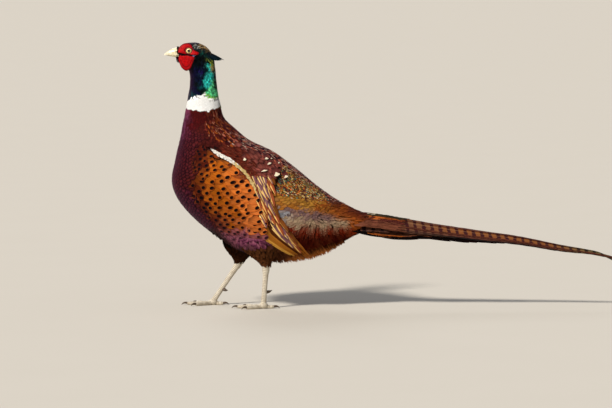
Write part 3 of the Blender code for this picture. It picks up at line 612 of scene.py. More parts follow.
KINDS = {
    "crown": kind((10, 20, 24), 0.4, (24, 44, 44), 0.4),
    # Pale grey-green streaks on the dark crown: a painted highlight.
    "crown_highlight": kind((152, 150, 142), 0.2, (38, 62, 62), 0.5),
    "crown_tan": kind((166, 136, 92), 0.1, (70, 62, 44), 0.5),
    "crown_green": kind((6, 66, 56), 0.55, (4, 26, 28), 0.4),
    "cheek": kind((5, 8, 12), 0.35, (6, 20, 22), 0.3),
    "nape": kind((164, 182, 62), 0.45, (84, 110, 44), 0.4),
    "nape_tan": kind((190, 166, 100), 0.2, (112, 106, 58), 0.4),
    # The black line along the rear edge of the neck: painted shade.
    "nape_shade": kind((8, 12, 16), 0.3, (30, 44, 30), 0.3),
    # Navy, violet, teal, turquoise, green and lime: the neck's glossy feathers with their sheen painted in by
    # place, as it shows from the bird's left side: navy in front, turquoise beside it, green behind.
    "navy": kind((9, 10, 41), 0.55, (5, 6, 20), 0.35),
    "violet": kind((26, 18, 72), 0.55, (12, 8, 40), 0.3),
    "teal": kind((8, 58, 62), 0.6, (4, 20, 32), 0.4),
    "ink": kind((4, 14, 16), 0.4, (2, 8, 10), 0.4),
    "turquoise": kind((58, 225, 210), 0.4, (6, 88, 112), 0.5),
    "green": kind((112, 244, 166), 0.35, (24, 126, 82), 0.5),
    "lime": kind((146, 214, 84), 0.3, (66, 146, 60), 0.5),
    "white": kind((252, 252, 250), 0.0, (236, 234, 228), 0.2),
    "neck_base": kind((81, 15, 14), 0.35, (44, 8, 12), 0.6),
    # Plum along the front edge of the neck base: the purple gloss of the maroon feathers, with a painted
    # violet sheen highlight along the front outline.
    "plum": kind((134, 60, 92), 0.5, (36, 8, 24), 0.7),
    "breast_plum": kind((100, 34, 48), 0.45, (26, 5, 14), 0.85, (12, 3, 8), 0.2),
    "breast": kind((82, 26, 28), 0.4, (18, 3, 8), 0.95, (12, 3, 8), 0.3),
    "breast_low": kind((82, 27, 44), 0.4, (16, 4, 12), 0.95, (8, 3, 8), 0.4),
    "mantle": kind((112, 42, 28), 0.2, (66, 20, 16), 0.7),
    "mantle_dark": kind((76, 24, 20), 0.25, (44, 12, 12), 0.7),
    "mantle_orange": kind((164, 78, 28), 0.1, (14, 8, 6), 0.9),
    "mantle_pale": kind((104, 44, 32), 0.1, (196, 132, 100), 0.9),
    "lesser": kind((104, 36, 22), 0.25, (70, 24, 20), 0.5, (60, 24, 20), 0.3, 0.0, 0.1),
    "scapular": kind((153, 79, 68), 0.2, (92, 40, 38), 0.6, (58, 24, 24), 0.4, 0.1, 0.1),
    "back": kind((202, 106, 80), 0.2, (118, 56, 50), 0.7),
    "back_pale": kind((140, 88, 80), 0.1, (216, 190, 164), 1.0),
    "back_dark": kind((62, 26, 30), 0.2, (40, 16, 20), 0.7),
    "scaly_dark": kind((78, 41, 40), 0.1, (150, 96, 66), 0.6),
    "scaly_teal": kind((66, 150, 132), 0.2, (44, 36, 34), 0.8),
    "scaly_buff": kind((255, 218, 140), 0.05, (92, 56, 40), 0.8),
    "scaly_olive": kind((188, 138, 56), 0.1, (84, 56, 28), 0.7),
    "scaly_rust": kind((232, 116, 48), 0.1, (76, 38, 28), 0.7),
    "scaly_grey": kind((234, 196, 160), 0.05, (80, 56, 52), 0.8),
    "flank": kind((180, 94, 17), 0.3, (162, 74, 18), 0.5, (5, 4, 8), 1.0),
    "flank_rear": kind((236, 130, 52), 0.3, (206, 98, 34), 0.5, (5, 4, 8), 1.0),
    "flank_front": kind((74, 19, 6), 0.35, (54, 12, 10), 0.8, (5, 4, 8), 1.0),
    "flank_low": kind((158, 92, 112), 0.35, (80, 30, 56), 0.9, (10, 6, 14), 0.9),
    "belly": kind((34, 30, 18), 0.15, (44, 40, 30), 0.4),
    "rump_top": kind((84, 38, 32), 0.25, (120, 84, 66), 0.45, (30, 14, 12), 0.4, 0.1, 0.1, 0.4),
    "olive": kind((188, 132, 52), 0.15, (106, 62, 26), 0.5),
    "gold": kind((178, 112, 40), 0.15, (108, 56, 22), 0.5),
    "lavender_dark": kind((126, 96, 96), 0.15, (92, 68, 68), 0.3),
    "lavender": kind((176, 150, 120), 0.1, (130, 104, 86), 0.3),
    # Pearl: a painted highlight on the lavender rump.
    "pearl": kind((146, 146, 152), 0.05, (118, 108, 112), 0.3),
    "rust": kind((158, 80, 28), 0.15, (104, 44, 16), 0.4),
    "rust_dark": kind((104, 44, 20), 0.15, (62, 24, 14), 0.5),
    "vent": kind((116, 30, 8), 0.1, (84, 24, 8), 0.4),
    "vent_dark": kind((64, 12, 4), 0.1, (46, 8, 4), 0.4),
    "vent_edge": kind((200, 122, 60), 0.0, (172, 108, 58), 0.4),
    "thigh": kind((78, 43, 23), 0.05, (106, 66, 38), 0.4),
}
print(len(KINDS), "kinds of body feather")

# %% [markdown]
# Where a kind grows is given by a few places of the side view. A feather takes the kinds of the
# places near its tip, weighted by a high power of nearness, so that two tracts meet within a
# feather or two, as they do on the bird.

# %% Where each kind grows: x and z of each place in mm
WHERE = {
    "crown": "-345 435, -337 435, -330 423, -325 422, -317 413, -334 430, -322 427, -316 422, -330 435.5, "
        "-312 418, -333 428, -328 426.5, -323.5 424, -326 434",
    # The pale crown streaks here are a painted highlight.
    "crown_highlight": "-330.5 431.5, -326.5 429.5",
    "crown_tan": "-320 433, -315 431, -310 428, -307 424",
    "crown_green": "-320 419, -315 417, -310 415",
    "cheek": "-325 412, -320 408, -314 404, -324 401, -334 394, -340 388, -330 404, -315 411, -309 412, "
        "-360 411, -353 388, -317 398",
    "nape": "-306 409, -304.5 404, -304 399",
    "nape_tan": "-302 396, -301 390",
    # Places of the painted shade along the neck's rear edge.
    "nape_shade": "-298.5 392, -297.5 386, -298 378, -298 371, -300 403, -297 363, -300 409",
    # The places of navy, violet, teal, turquoise, green and lime paint the neck's sheen as it shows from the
    # left side.
    "navy": "-332 383, -335 371, -330 361, -325 375, -337 361, -320 368, -317 378, -327 391, -317 394, "
        "-338 378, -324 352, -316 386, -330 354, -316 400",
    "violet": "-321 387",
    "teal": "-335 349, -341 347, -341 356, -320 362, -315 362",
    "ink": "-319 357, -325 358, -313 357, -330 368, -309 402, -312 390",
    "turquoise": "-308 398, -307 391, -306 384, -308 377, -311 371, -304 378, -306 370, -303 385, "
        "-311 364",
    "green": "-302 364, -306 358, -300 355, -309 354, -297 350, -301 371, -304 352",
    "lime": "-310 348, -303 345, -295 344",
    "neck_base": "-334 318, -325 314, -315 317, -329 302, -337 299, -319 304",
    # Plum lies along the front outline: a painted sheen highlight on the maroon.
    "plum": "-346 318, -348 309, -351 295, -354 284",
    "breast_plum": "-341 306, -344 292, -346 284, -358 272, -363 256",
    "breast": "-347 272, -357 259, -340 259, -362 239, -347 233, -334 259, -327 282, -366 210, -350 206, "
        "-320 282, -337 226",
    "breast_low": "-355 180, -340 178, -340 157, -324 152, -310 137",
    "mantle_dark": "-310 300, -318 296, -302 290, -296 278, -314 284, -306 274, -290 268",
    "mantle": "-298 316, -287 300, -272 285, -284 278, -262 272",
    "lesser": "-281 256, -271 248, -258 241, -246 229, -264 257, -248 248, -235 226",
    "scapular": "-231 246, -221 243, -208 248, -218 229, -205 231, -188 228, -195 216, -178 213",
    "back": "-228 263, -211 255, -192 246, -175 234, -159 221, -221 257, -202 248, -182 236, -150 216",
    "flank": "-297 240, -287 226, -301 210, -287 193, -271 177, -274 210, -258 160, -264 140, -281 163, "
        "-248 137, -294 177, -277 239",
    "flank_rear": "-264 223, -248 200, -235 177, -225 153, -218 134, -241 163, -231 137",
    "flank_front": "-311 262, -319 252, -307 250, -317 233, -309 236, -320 210, -314 190, -307 167, "
        "-291 150, -277 134",
    "flank_low": "-271 120, -258 114, -244 111, -231 107, -218 103, -248 124, -231 120, -215 113, "
        "-262 108",
    "belly": "-301 117, -287 109, -275 100, -256 92, -240 86",
    "thigh": "-221 92, -204 91, -190 96, -226 82, -200 80",
    "olive": "-182 185, -172 178, -152 178, -139 172, -122 172, -159 185, -129 183",
    "gold": "-185 173, -185 193, -164 168, -109 162",
    "lavender_dark": "-169 163, -149 157, -129 153, -112 150",
    "lavender": "-175 150, -159 145, -139 140, -119 140, -100 140, -86 140",
    # Pearl marks a painted highlight on the rump.
    "pearl": "-187 163, -183 156, -176 157",
    "rust": "-116 172, -103 160, -89 153, -76 147, -70 134, -63 140, -86 165, -126 168",
    "rust_dark": "-96 168, -83 158, -70 153, -60 150, -108 163",
    "vent": "-176 131, -152 129, -132 127, -109 127, -89 127, -73 125, -182 124",
    "vent_dark": "-142 112, -122 114, -103 115, -156 108, -88 117, -164 116, -135 100, -115 104, -97 108, "
        "-150 98, -168 102, -82 112",
    "vent_edge": "-129 82, -112 87, -93 94, -76 103, -145 76, -160 72",
    "rump_top": "-142 210, -126 193, -109 182, -93 173, -73 162, -56 155",
}


def places_of(word):
    """The places of a kind as pairs of numbers."""
    return [tuple(map(float, place.split())) for place in WHERE[word].split(",")]


print(sum(len(places_of(word)) for word in WHERE), "places")

# %% [markdown]
# Two tracts of the back are a mosaic: each feather there draws its own kind from a short list,
# where a kind stands as often as it is met. The tracts are drawn as corners of the side view.

# %% Mosaics of the back
SCALY_CORNERS = ((-204, 208), (-190, 188), (-158, 184), (-128, 178), (-108, 178), (-124, 196), (-160, 220),
                 (-184, 236))
MANTLE_CORNERS = ((-316, 304), (-300, 324), (-280, 332), (-244, 292), (-208, 270), (-140, 228), (-80, 190),
                  (-88, 176), (-108, 178), (-124, 196), (-160, 220), (-190, 240), (-226, 252), (-262, 264),
                  (-286, 272), (-306, 282))
ORANGE_CORNERS = ((-310, 296), (-290, 316), (-262, 290), (-240, 264), (-264, 262), (-300, 270))
BACK_STARTS_X = -262.0                   # from here on the mantle's mosaic takes the colours of the back
SCALY_WORDS = ("dark dark dark dark dark teal olive olive olive buff buff rust rust grey", "scaly_")
MANTLE_WORDS = ("_dark _dark _dark _pale _pale - - - - -", "mantle")
ORANGE_WORDS = ("_dark _dark _dark _pale _pale _orange _orange - - -", "mantle")
BACK_WORDS = ("_dark _dark _dark _pale _pale _pale _pale - - -", "back")


def inside_corners(x, z, corners):
    """True for places inside a form with straight sides: a line to the right crosses them an odd number
    of times."""
    inside = np.zeros(x.shape, bool)
    for (ax, az), (bx, bz) in zip(corners, corners[1:] + corners[:1]):
        if az != bz:                     # a level side is never crossed
            spans = (az > z) != (bz > z)
            inside ^= spans & (x < ax + (bx - ax) * (z - az) / (bz - az))
    return inside


def drawn_rows(words, count):
    """The numbers of a kind drawn for each of so many feathers."""
    endings, start = words
    return np.array([KINDS[start + ending.strip("-")] for ending in luck.choice(endings.split(), count)])


def mosaic_rows(tract, points):
    """The numbers of a drawn kind for each feather, by the tract and by the place of its tip."""
    x, z = points[:, -1, 0], points[:, -1, 2]
    if tract == "scaly":
        return drawn_rows(SCALY_WORDS, len(x))
    orange = inside_corners(x, z, ORANGE_CORNERS)[:, None]
    behind = (x > BACK_STARTS_X + 8 * errors(x))[:, None]
    rows = np.where(orange, drawn_rows(ORANGE_WORDS, len(x)), drawn_rows(MANTLE_WORDS, len(x)))
    return np.where(behind, drawn_rows(BACK_WORDS, len(x)), rows)


print(len(SCALY_WORDS[0].split()), "draws in the scaly tract's list")

# %% [markdown]
# The looks of any place are now a mix of the kinds near it. The white ring is drawn by its two
# edges instead, because it is narrow and sharp.

# %% The looks of a place


def numbers(words):
    """The places of these kinds as an array, and the numbers of the kind at each."""
    pairs = [(place, KINDS[word]) for word in words for place in places_of(word)]
    return tuple(np.array(column) for column in zip(*pairs))


TRACTS = numbers(WHERE)
FLANK = numbers([word for word in WHERE if word.startswith("flank")])
LOW = numbers(("flank_low", "belly", "thigh"))
NEARNESS = 5.0
COLLAR_TOP = {-344: 340.0, -336: 345.5, -324: 348.5, -315: 351.0, -311.5: 347.0, -297: 344.0, -289: 345.0}
COLLAR_EDGE = {-346: 328.0, -338: 326.0, -328: 324.5, -307: 325.0, -297: 328.5, -289: 333.0}
COLLAR_NOTCH = (-290.0, 335.5, 2.6)      # the ring is all but broken at the back of the neck


def collar_share(x, z):
    """1 inside the white ring, between its upper and its lower edge, and 0 in the notch at the back."""
    x_in = np.clip(x, -346, -289)
    ring = ease(-0.8, 0.8, profile(COLLAR_TOP, x_in) - z) * ease(-0.8, 0.8, z - profile(COLLAR_EDGE, x_in))
    notch = np.hypot(x - COLLAR_NOTCH[0], 1.4 * (z - COLLAR_NOTCH[1])) < COLLAR_NOTCH[2]
    return np.where(notch, 0.0, ring)


def looks_at(x, z, nearness=NEARNESS, places=TRACTS):
    """The numbers of the kinds, mixed by the power of nearness of their places. The white ring covers
    whatever they say."""
    at, rows = places
    away = np.hypot(x.ravel()[:, None] - at[:, 0], z.ravel()[:, None] - at[:, 1])
    near = 1 / (away + 1.0) ** nearness
    mixed = near @ rows / near.sum(axis=1, keepdims=True)
    white = collar_share(x.ravel(), z.ravel())[:, None]
    return mixed * (1 - white) + KINDS["white"] * white


def feather_looks(rows, spread=0.1):
    """{attribute: values} of a batch from its rows of sixteen numbers, each feather a little lighter or
    darker than its kind."""
    rows = rows.copy()
    shade = np.clip(1 + spread * luck.normal(size=(len(rows), 1)), 0.4, 1.8)
    rows[:, 0:3] *= shade
    rows[:, 4:7] *= shade
    rows[:, 14] = luck.random(len(rows))
    return {word: rows[:, 4 * k:4 * k + 4] for k, word in enumerate(LOOKS)}


print("at the flank the ground is", looks_at(np.array([-266.0]), np.array([190.0]))[0, :3].round(3))

# %% [markdown]
# ## The finish of a feather
# The vane's own map tells how far along and across a point is. The rim is where that place is
# near the outline, the spot is an ellipse near the tip, and the barbs are fine lines that slant
# forward from the shaft. The part under the next feather is darker: partly the dark down there,
# partly painted shade of the feather that lies over it. Cock pheasants shine because their
# barbules are stacked like oil films, so the sheen is a metallic share.

# %% Contour feathers
VIOLET = paint(128, 60, 112)
WEDGE_SHARE = 0.32           # a wedge takes this last share of the vane
WEDGE_WIDENS = 3.2           # and opens this fast towards the tip


def feather_finish(name, spot_size=(0.36, 0.06), spot_at=0.9, rim_from=(0.72, 0.9), rim_on="outline",
                   glow=0.7, gloss=0.8, down=0.7, hair_dark=0.5, shine=0.03):
    """Ground, darker towards the root, then spot, rim and shaft over it, all by the place on the vane. The
    rim lies on the outline, or it is a stripe along the front edge, thin where wedge is 1, or the ground
    fades to it towards the tip. glow and gloss are the strengths of the sheen's violet and of its metal,
    down is how dark the root is, partly dark down and partly painted shade of the next feather over it,
    and hair_dark the gaps between barbs."""
    made = Finish(name, 0.5, Specular_IOR_Level=shine)
    across, along, _ = made.parts(made.node("UVMap", {"uv_map": "Vane"}))
    x = across * 2 - 1
    bars, shaft, chance = made.parts(made.read("pattern"))
    wedge = made.read("pattern", "Alpha")
    tip = (along - BROADEST).at_least(0) / (1 - BROADEST)
    outline = (x * x + tip * tip) ** 0.5
    barb = (along * 150 - abs(x) * 34 + chance * 9).sine() * 0.5 + 0.5
    hair_at = made.node("CombineXYZ", None, {0: across * 13, 1: along * 2.2, 2: chance * 60})
    hair = made.noise(1.0, 4, hair_at)
    fleck = made.noise(900, 2)
    ground = made.read("ground")
    colour = made.mix(hair.step(0.3, 0.75) * hair_dark, ground, made.mix(0.72, ground, (0, 0, 0)))
    colour = made.mix(barb * 0.12 + fleck * 0.1, colour, (0.0, 0.0, 0.0))
    # Darker towards the root: partly the dark down, partly painted shade under the feather that lies over
    # this one.
    depth = along.step(0.25, 0.72)
    colour = made.mix((1 - depth) * down, colour, (0.004, 0.003, 0.003))
    band = (along * 46 + chance * 6 - abs(x) * 3).sine().step(0.1, 0.7) * bars
    colour = made.mix(band, colour, made.read("spot"))
    slant = x * (chance - 0.5) * 0.08
    wide, high = spot_size
    grown = 0.8 + chance * 0.4
    oval = (((x + (chance - 0.5) * 0.2) / wide) ** 2 + ((along - spot_at + slant) / high) ** 2) / grown
    oval = oval.step(1.25, 0.8)
    start = 1 - WEDGE_SHARE
    sides = (abs(x) - (along - start) * WEDGE_WIDENS).step(0.06, -0.06)
    triangle = sides * along.step(start, start + 0.04)
    spot = oval * (1 - wedge.step(0.8, 0.95)) + triangle * wedge.step(0.8, 0.95)
    colour = made.mix(spot * made.read("spot", "Alpha"), colour, made.read("spot"))
    edge = {"outline": outline, "front": (x + wedge * 0.42) * -1, "tip": along}[rim_on]
    rim = (edge + (hair - 0.5) * 0.3).step(*rim_from) * made.read("rim", "Alpha")
    colour = made.mix(rim * (1 - spot * 0.8), colour, made.read("rim"))
    colour = made.mix(abs(x).step(0.14, 0.05) * shaft * depth, colour, (0.5, 0.34, 0.2))
    sheen = made.read("ground", "Alpha")
    facing = made.node("LayerWeight", None, {"Blend": 0.5}, 1)
    colour = made.mix((facing ** 2.5) * sheen * glow, colour, VIOLET)
    made.bump(barb * 0.4 + hair + abs(x).step(0.12, 0.0) * 0.6, 0.5, 0.0004)
    rough = 0.66 - sheen * 0.45 + fleck * 0.1
    return made.surface(Base_Color=colour, Metallic=sheen * gloss, Roughness=rough)


contour_finish = feather_finish("contour_feathers", rim_from=(0.62, 0.88))
collar_finish = feather_finish("collar_feathers", glow=0.0, gloss=0.0, down=0.15, hair_dark=0.1)
mantle_finish = feather_finish("mantle_feathers", rim_from=(0.25, 0.5), rim_on="front")
flank_finish = feather_finish("flank_feathers", (0.38, 0.1), 0.87)
plume_finish = feather_finish("plumes", rim_from=(0.35, 0.95), rim_on="tip", down=0.1, hair_dark=0.34,
                              gloss=0.4, glow=0.2, shine=0.0)
print("feather finishes use the maps Vane and OFBake")

# %% [markdown]
# ## Skin
# Between and under the feathers there is skin with dark down. One closed form stands for head,
# neck, trunk and thighs, a coat's depth inside their solids, so that no joint shows. Trunk and
# thighs are lofts, merged by a voxel remesh, which gives one even surface.

# %% The skin under the coat
COAT_DEPTH = {0: 0.9, 3: 1.3, 6: 2.0, 9: 2.8, 11: 4.0, 13: 4.8, 17: 4.8, 19: 3.6}
LEGS = {
    "left": {"hip": (-234.0, -30.0, 130.0), "ankle": (-214.5, -31.0, 64.0), "sole": (-218.5, -33.0, 6.0)},
    "right": {"hip": (-247.0, 30.0, 130.0), "ankle": (-262.5, 31.0, 66.0), "sole": (-303.0, 31.0, 6.0)},
}
THIGH_WIDE = {0.0: 12.0, 0.25: 25.0, 0.5: 24.0, 0.72: 16.0, 0.9: 8.6, 1.0: 6.4}
THIGH_DEEP = {0.0: 20.0, 0.25: 34.0, 0.5: 32.0, 0.72: 21.0, 0.9: 10.6, 1.0: 7.6}
SHANK_TOP_Z = 70.0
LEG_X, LEG_Z = -300, 92      # behind this and below it, skin is that of a leg
VOXEL = 2.0


def leg_line(word):
    """(hip, top of the bare shank, ankle, sole) of a leg."""
    hip, ankle, sole = (np.array(LEGS[word][key]) for key in ("hip", "ankle", "sole"))
    slant = (ankle - sole) / np.linalg.norm(ankle - sole)
    return hip, ankle + slant * (SHANK_TOP_Z - ankle[2]) / slant[2], ankle, sole


def thigh(word):
    """The thigh's surface: flat ellipses down a line from hip to shank. p is the share down the leg and q
    the angle, 0 behind and rising towards the right."""
    hip, top, _, _ = leg_line(word)

    def point(p, q, lift=0.0):
        p, q, lift = np.broadcast_arrays(p, q, lift)
        middle = hip + (top - hip) * p[..., None]
        wide, deep = profile(THIGH_WIDE, p) + lift, profile(THIGH_DEEP, p) + lift
        return middle + vectors(deep * np.cos(q), wide * np.sin(q), 0 * p)

    return point


def make_skin():
    """The trunk's loft and both thighs, a coat's depth inside, merged into one form."""
    u, turn = grid(np.linspace(0.1, 19, 150), circle(96))
    forms = [tube(body(u, turn, -profile(COAT_DEPTH, u)))]
    for word in LEGS:
        p, q = grid(np.linspace(0.02, 1, 40), circle(32))
        forms.append(tube(thigh(word)(p, q, -3.2 * np.clip((1 - p) * 6, 0.15, 1))))
    points, faces = merged([(points, facing_out(points, faces)) for points, faces in forms])
    mesh = bpy.data.meshes.new("merging")
    mesh.from_pydata(points * MM, [], faces)
    holder = placed("merging", mesh)
    remesh = holder.modifiers.new("merge", "REMESH")
    remesh.mode = "VOXEL"
    remesh.voxel_size = VOXEL * MM
    even = bpy.data.meshes.new_from_object(holder.evaluated_get(bpy.context.evaluated_depsgraph_get()))
    bpy.data.objects.remove(holder)
    places = np.empty(3 * len(even.vertices), np.float32)
    even.vertices.foreach_get("co", places)
    corners = np.empty(len(even.loops), np.int32)
    even.loops.foreach_get("vertex_index", corners)
    return places.reshape(-1, 3) / MM, corners.reshape(-1, 4)


def skin_finish():
    """The colour of the coat above it, darkened to down and mottled."""
    made = Finish("skin_and_down", 0.85, Specular_IOR_Level=0.2)
    mottle = made.noise(420, 4)
    colour = made.mix(mottle * 0.5 + 0.35, made.read("ground"), (0.006, 0.005, 0.005))
    made.bump(mottle, 0.6, 0.001)
    return made.surface(Base_Color=colour)


skin_points, skin_faces = make_skin()
skin_x, _, skin_z = skin_points.T
on_leg = (skin_x > LEG_X) & (skin_z < LEG_Z)
skin_rows = np.where(on_leg[:, None], KINDS["thigh"], looks_at(skin_x, skin_z))
piece("skin", skin_points, skin_faces, skin_finish(), "plumage_breast",
      ("head", "neck", "collar", "torso", "rump", "thigh_left", "thigh_right"),
      colours={"ground": skin_rows[:, 0:4]})

# %% [markdown]
# ## Rows of feathers on the body
# Feathers stand in rows, each feather over the gap between two of the row before it. The body
# is cut into bands with a steady number of columns, so feathers grow larger where it is wider.

# %% Roots in staggered columns


def columns_on(surface, start, end, columns, pitch, first=0.0, last=2 * np.pi, jitter=0.12):
    """(p, q, spacing of the columns) of roots a pitch apart along p, every other column half a pitch
    later, each moved by a small random share."""
    fine = np.linspace(start, end, 120)
    whole = abs(last - first - 2 * np.pi) < 1e-6
    lines = circle(columns) if whole else np.linspace(first, last, columns)
    found_p, found_q = [], []
    for number, q in enumerate(lines):
        line = surface(fine, np.full_like(fine, q))
        run = np.concatenate([[0], np.cumsum(np.linalg.norm(np.diff(line, axis=0), axis=1))])
        places = np.arange(0.5 * (number % 2), run[-1] / pitch, 1.0) * pitch
        places = places + jitter * pitch * errors(places)
        found_p.append(np.interp(places, run, fine))
        found_q.append(np.full(len(places), q))
    p, q = np.concatenate(found_p), np.concatenate(found_q)
    gap = lines[1] - lines[0]
    q = q + jitter * gap * errors(q)
    spacing = surface_steps(surface, p, q, 0.01)[1] * gap
    return p, q, spacing


def staggered(rows, columns, step, row_error, column_error):
    """(p, q) of a grid on a surface, with every other column a step later, each place moved at random."""
    p, q = grid(rows, columns)
    p = (p + step * (np.arange(len(columns)) % 2)).ravel()
    p = p + row_error * errors(p)
    q = q.ravel()
    return p, q + column_error * errors(q)


def tip_looks(points, share=0.8, stray=2.0, nearness=NEARNESS, places=TRACTS):
    """The looks of feathers by the place of a point near their tips, strayed by a few mm, so that two
    tracts meet in a ragged line."""
    place = points[:, int(share * points.shape[1])]
    stray = stray * luck.normal(size=(2, len(place)))
    return looks_at(place[:, 0] + stray[0], place[:, 2] + stray[1], nearness, places)


def plume_looks(points, first=0.45, stray=1.2):
    """The looks of long vanes that fade from the colour of one place to that of another at their tips."""
    rows = tip_looks(points, first, stray, 3.7)
    rows[:, 4:7] = tip_looks(points, 0.95, stray, 3.7)[:, 0:3]
    rows[:, 7] = 1.0
    return rows


def unwrapped(u, turn):
    """The place of a root on the body's unwrap: station along, turn across."""
    return vectors(0.02 + 0.96 * u / 20, 0.02 + 0.96 * (turn % (2 * np.pi)) / (2 * np.pi))


# %% [markdown]
# The wing lies in the side of the trunk, and feathers under it would only poke through. A place
# of the trunk is under the wing where its own coordinates, along and across the wing, fall
# inside the wing's outline. So the wing's sizes are needed here.

# %% Sizes of the wing
SHOULDER = np.array([-305.5, 264.0])
WING_TIP = np.array([-139.0, 75.5])
WING_LENGTH = float(np.linalg.norm(WING_TIP - SHOULDER))
WING_ALONG = (WING_TIP - SHOULDER) / WING_LENGTH
WING_ACROSS = np.array([-WING_ALONG[1], WING_ALONG[0]])
WING_FRONT = {0: -1, 20: 4, 45: 12, 78: 15, 108: 7, 134: -9, 150: -25, 163: -32, 186: -29, 204: -24,
              222: -18, 252: 0}
WING_REAR = {0: 1, 10: 20, 46: 50, 84: 66, 98: 68, 110: 62, 120: 47, 140: 27, 152: 18, 166: 11, 184: 9,
             204: 8, 224: 7, 252: 3}
FLANK_END = {0: -1, 20: 4, 45: 12, 78: 15, 108: 8, 134: 1, 150: -4, 161: -9, 168: -18, 176: -30, 190: -31,
             222: -19, 252: 0}           # the flank's feathers lie over the wing up to this line
WING_HANG = {0: 20, 100: 46, 160: 47, 210: 40, 252: 31}


def wing_place(x, z):
    """(l, s) of a place of the side view: how far it is along the wing and across it."""
    offset = vectors(x, z) - SHOULDER
    return offset @ WING_ALONG, offset @ WING_ACROSS


def under_wing(points, front=6.0, rear=7.0):
    """True where a feather's middle is inside the wing's outline, by more than these margins."""
    middle = points[:, points.shape[1] // 2]
    l, s = wing_place(middle[:, 0], middle[:, 2])
    inside = (s > profile(FLANK_END, l) + front) & (s < profile(WING_REAR, l) - rear)
    return inside & (l > 6) & (l < WING_LENGTH - 6)


def lean_side(turn):
    """1 where a larger turn is nearer the belly, on the left, and -1 on the right."""
    return np.where(turn % (2 * np.pi) < np.pi, 1.0, -1.0)


print("the wing is", round(WING_LENGTH), "mm from shoulder to tip")

# %% The face's outline, which small feathers keep clear of
EYE_AT = (-341.0, 423.0)
WATTLE_AT = (-345.1, 414.2)
WATTLE_REACH = {
    0: 14.6, 12: 21.9, 27: 18.4, 49: 16.8, 68: 20.6, 95: 21.0, 120: 19.7, 150: 16.3, 180: 12.7, 205: 14.6,
    230: 17.2, 252: 21.6, 270: 24.3, 284: 22.4, 298: 18.6, 315: 15.6, 336: 14.4, 360: 14.6,
}


def on_face(points, margin):
    """True where a feather's tip is on the red skin, by more than the margin."""
    tip = points[:, -1]
    away_x, away_z = tip[:, 0] - WATTLE_AT[0], tip[:, 2] - WATTLE_AT[1]
    angle = np.degrees(np.arctan2(away_z, away_x)) % 360
    beside = np.abs(tip[:, 1]) > 4.5
    return (np.hypot(away_x, away_z) < profile(WATTLE_REACH, angle) - margin) & beside


print("the red skin reaches", max(WATTLE_REACH.values()), "mm at most")

# %% [markdown]
# ## Head and neck
# The feathers here are the smallest, three to five millimetres, and lie so close that the neck
# looks like satin. Its sheen is painted in by place: navy in front, turquoise beside it and green behind.

# %% Small feathers of the head and the neck
SMALL_BANDS = ((0.25, 4.6, 52, 2.0, 1.7), (4.6, 8.35, 60, 2.2, 0.9))     # start, end, columns, pitch, stray


def make_small_feathers():
    coat = Coat()
    for start, end, columns, pitch, stray in SMALL_BANDS:
        u, turn, spacing = columns_on(body, start, end, columns, pitch)
        half = np.clip(spacing, 1.2, 2.6) * (0.75 + 0.12 * errors(u))
        length = pitch * (3.4 + 0.4 * errors(u))
        points = lay(body, u, turn, SCALE, length, half, 0.06 * errors(u), (-1.4, 0.3), 0.12, 1.5)
        clear = ~on_face(points, 1.5)
        coat.add(points, SCALE, tip_looks(points, stray=stray), 0.45, unwrapped(u, turn), clear)
    return coat.finish("feathers_head_neck", small_finish, "plumage_head")


small_finish = feather_finish("small_feathers", glow=0.9, gloss=1.0)
make_small_feathers()

# %% The white ring
RING_BAND = (7.7, 9.1, 84, 1.9)


def make_collar():
    """White feathers a little longer than those above them, standing slightly over the maroon ones. None
    starts above the ring, so that the dark ones lie over its upper edge."""
    coat = Coat()
    start, end, columns, pitch = RING_BAND
    u, turn, spacing = columns_on(body, start, end, columns, pitch)
    length = 6.0 + 0.3 * errors(u)
    points = lay(body, u, turn, SCALE, length, spacing * 0.8, 0.0, (-1.6, 0.7), 0.18, 1.8)
    root, tip = points[:, 1], points[:, -1]
    top, foot = (profile(edge, np.clip(root[:, 0], -346, -289)) for edge in (COLLAR_TOP, COLLAR_EDGE))
    white = (root[:, 2] < top + 0.6) & (tip[:, 2] > foot - 0.5)
    white &= collar_share(tip[:, 0], tip[:, 2] + 2) > 0.2
    below = tip[:, 2] < foot - 0.8
    rows = np.where(white[:, None], KINDS["white"], looks_at(tip[:, 0], tip[:, 2] - 4))
    coat.add(points, SCALE, rows, 0.04, unwrapped(u, turn), white | below)
    return coat.finish("feathers_collar", collar_finish, "plumage_collar")


make_collar()

# %% [markdown]
# ## Breast, back and flanks
# On the trunk the vanes are eight to sixteen millimetres across. The flank feathers are the
# largest, and each one shows a black spot at its tip. They lie down and back, as the sections
# of the body do, so the natural lie is the same formula everywhere.

# %% Feathers of the trunk
TRUNK_BANDS = ((8.75, 11.0, 48, 4.2), (11.0, 13.2, 58, 5.4), (13.2, 15.9, 70, 5.6))
FLANK_BANDS = ((10.6, 12.7, 46, 8.2), (12.7, 15.9, 41, 10.4))
FLANK_LEAN = -0.5                     # they point further to the rear than the body's own line
SCALY_BAND = (13.0, 17.6, 240, 2.2)
MANTLE_BAND = (8.9, 18.3, 110, 4.4)


def tip_in(points, corners, lower=0.0):
    """True for feathers whose tip, or a place some mm under it, is inside a tract of the side view."""
    tip = points[:, -1]
    return inside_corners(tip[:, 0], tip[:, 2] - lower, corners)


def flank_share(points):
    """How much of a feather's look is that of the flank, by how strong its spot is. It is 0 on the wing."""
    place = points[:, int(0.8 * points.shape[1])]
    l, s = wing_place(place[:, 0], place[:, 2])
    below_wing = s < profile(FLANK_END, l) + 4
    return np.where(below_wing, looks_at(place[:, 0], place[:, 2])[:, 11], 0.0)


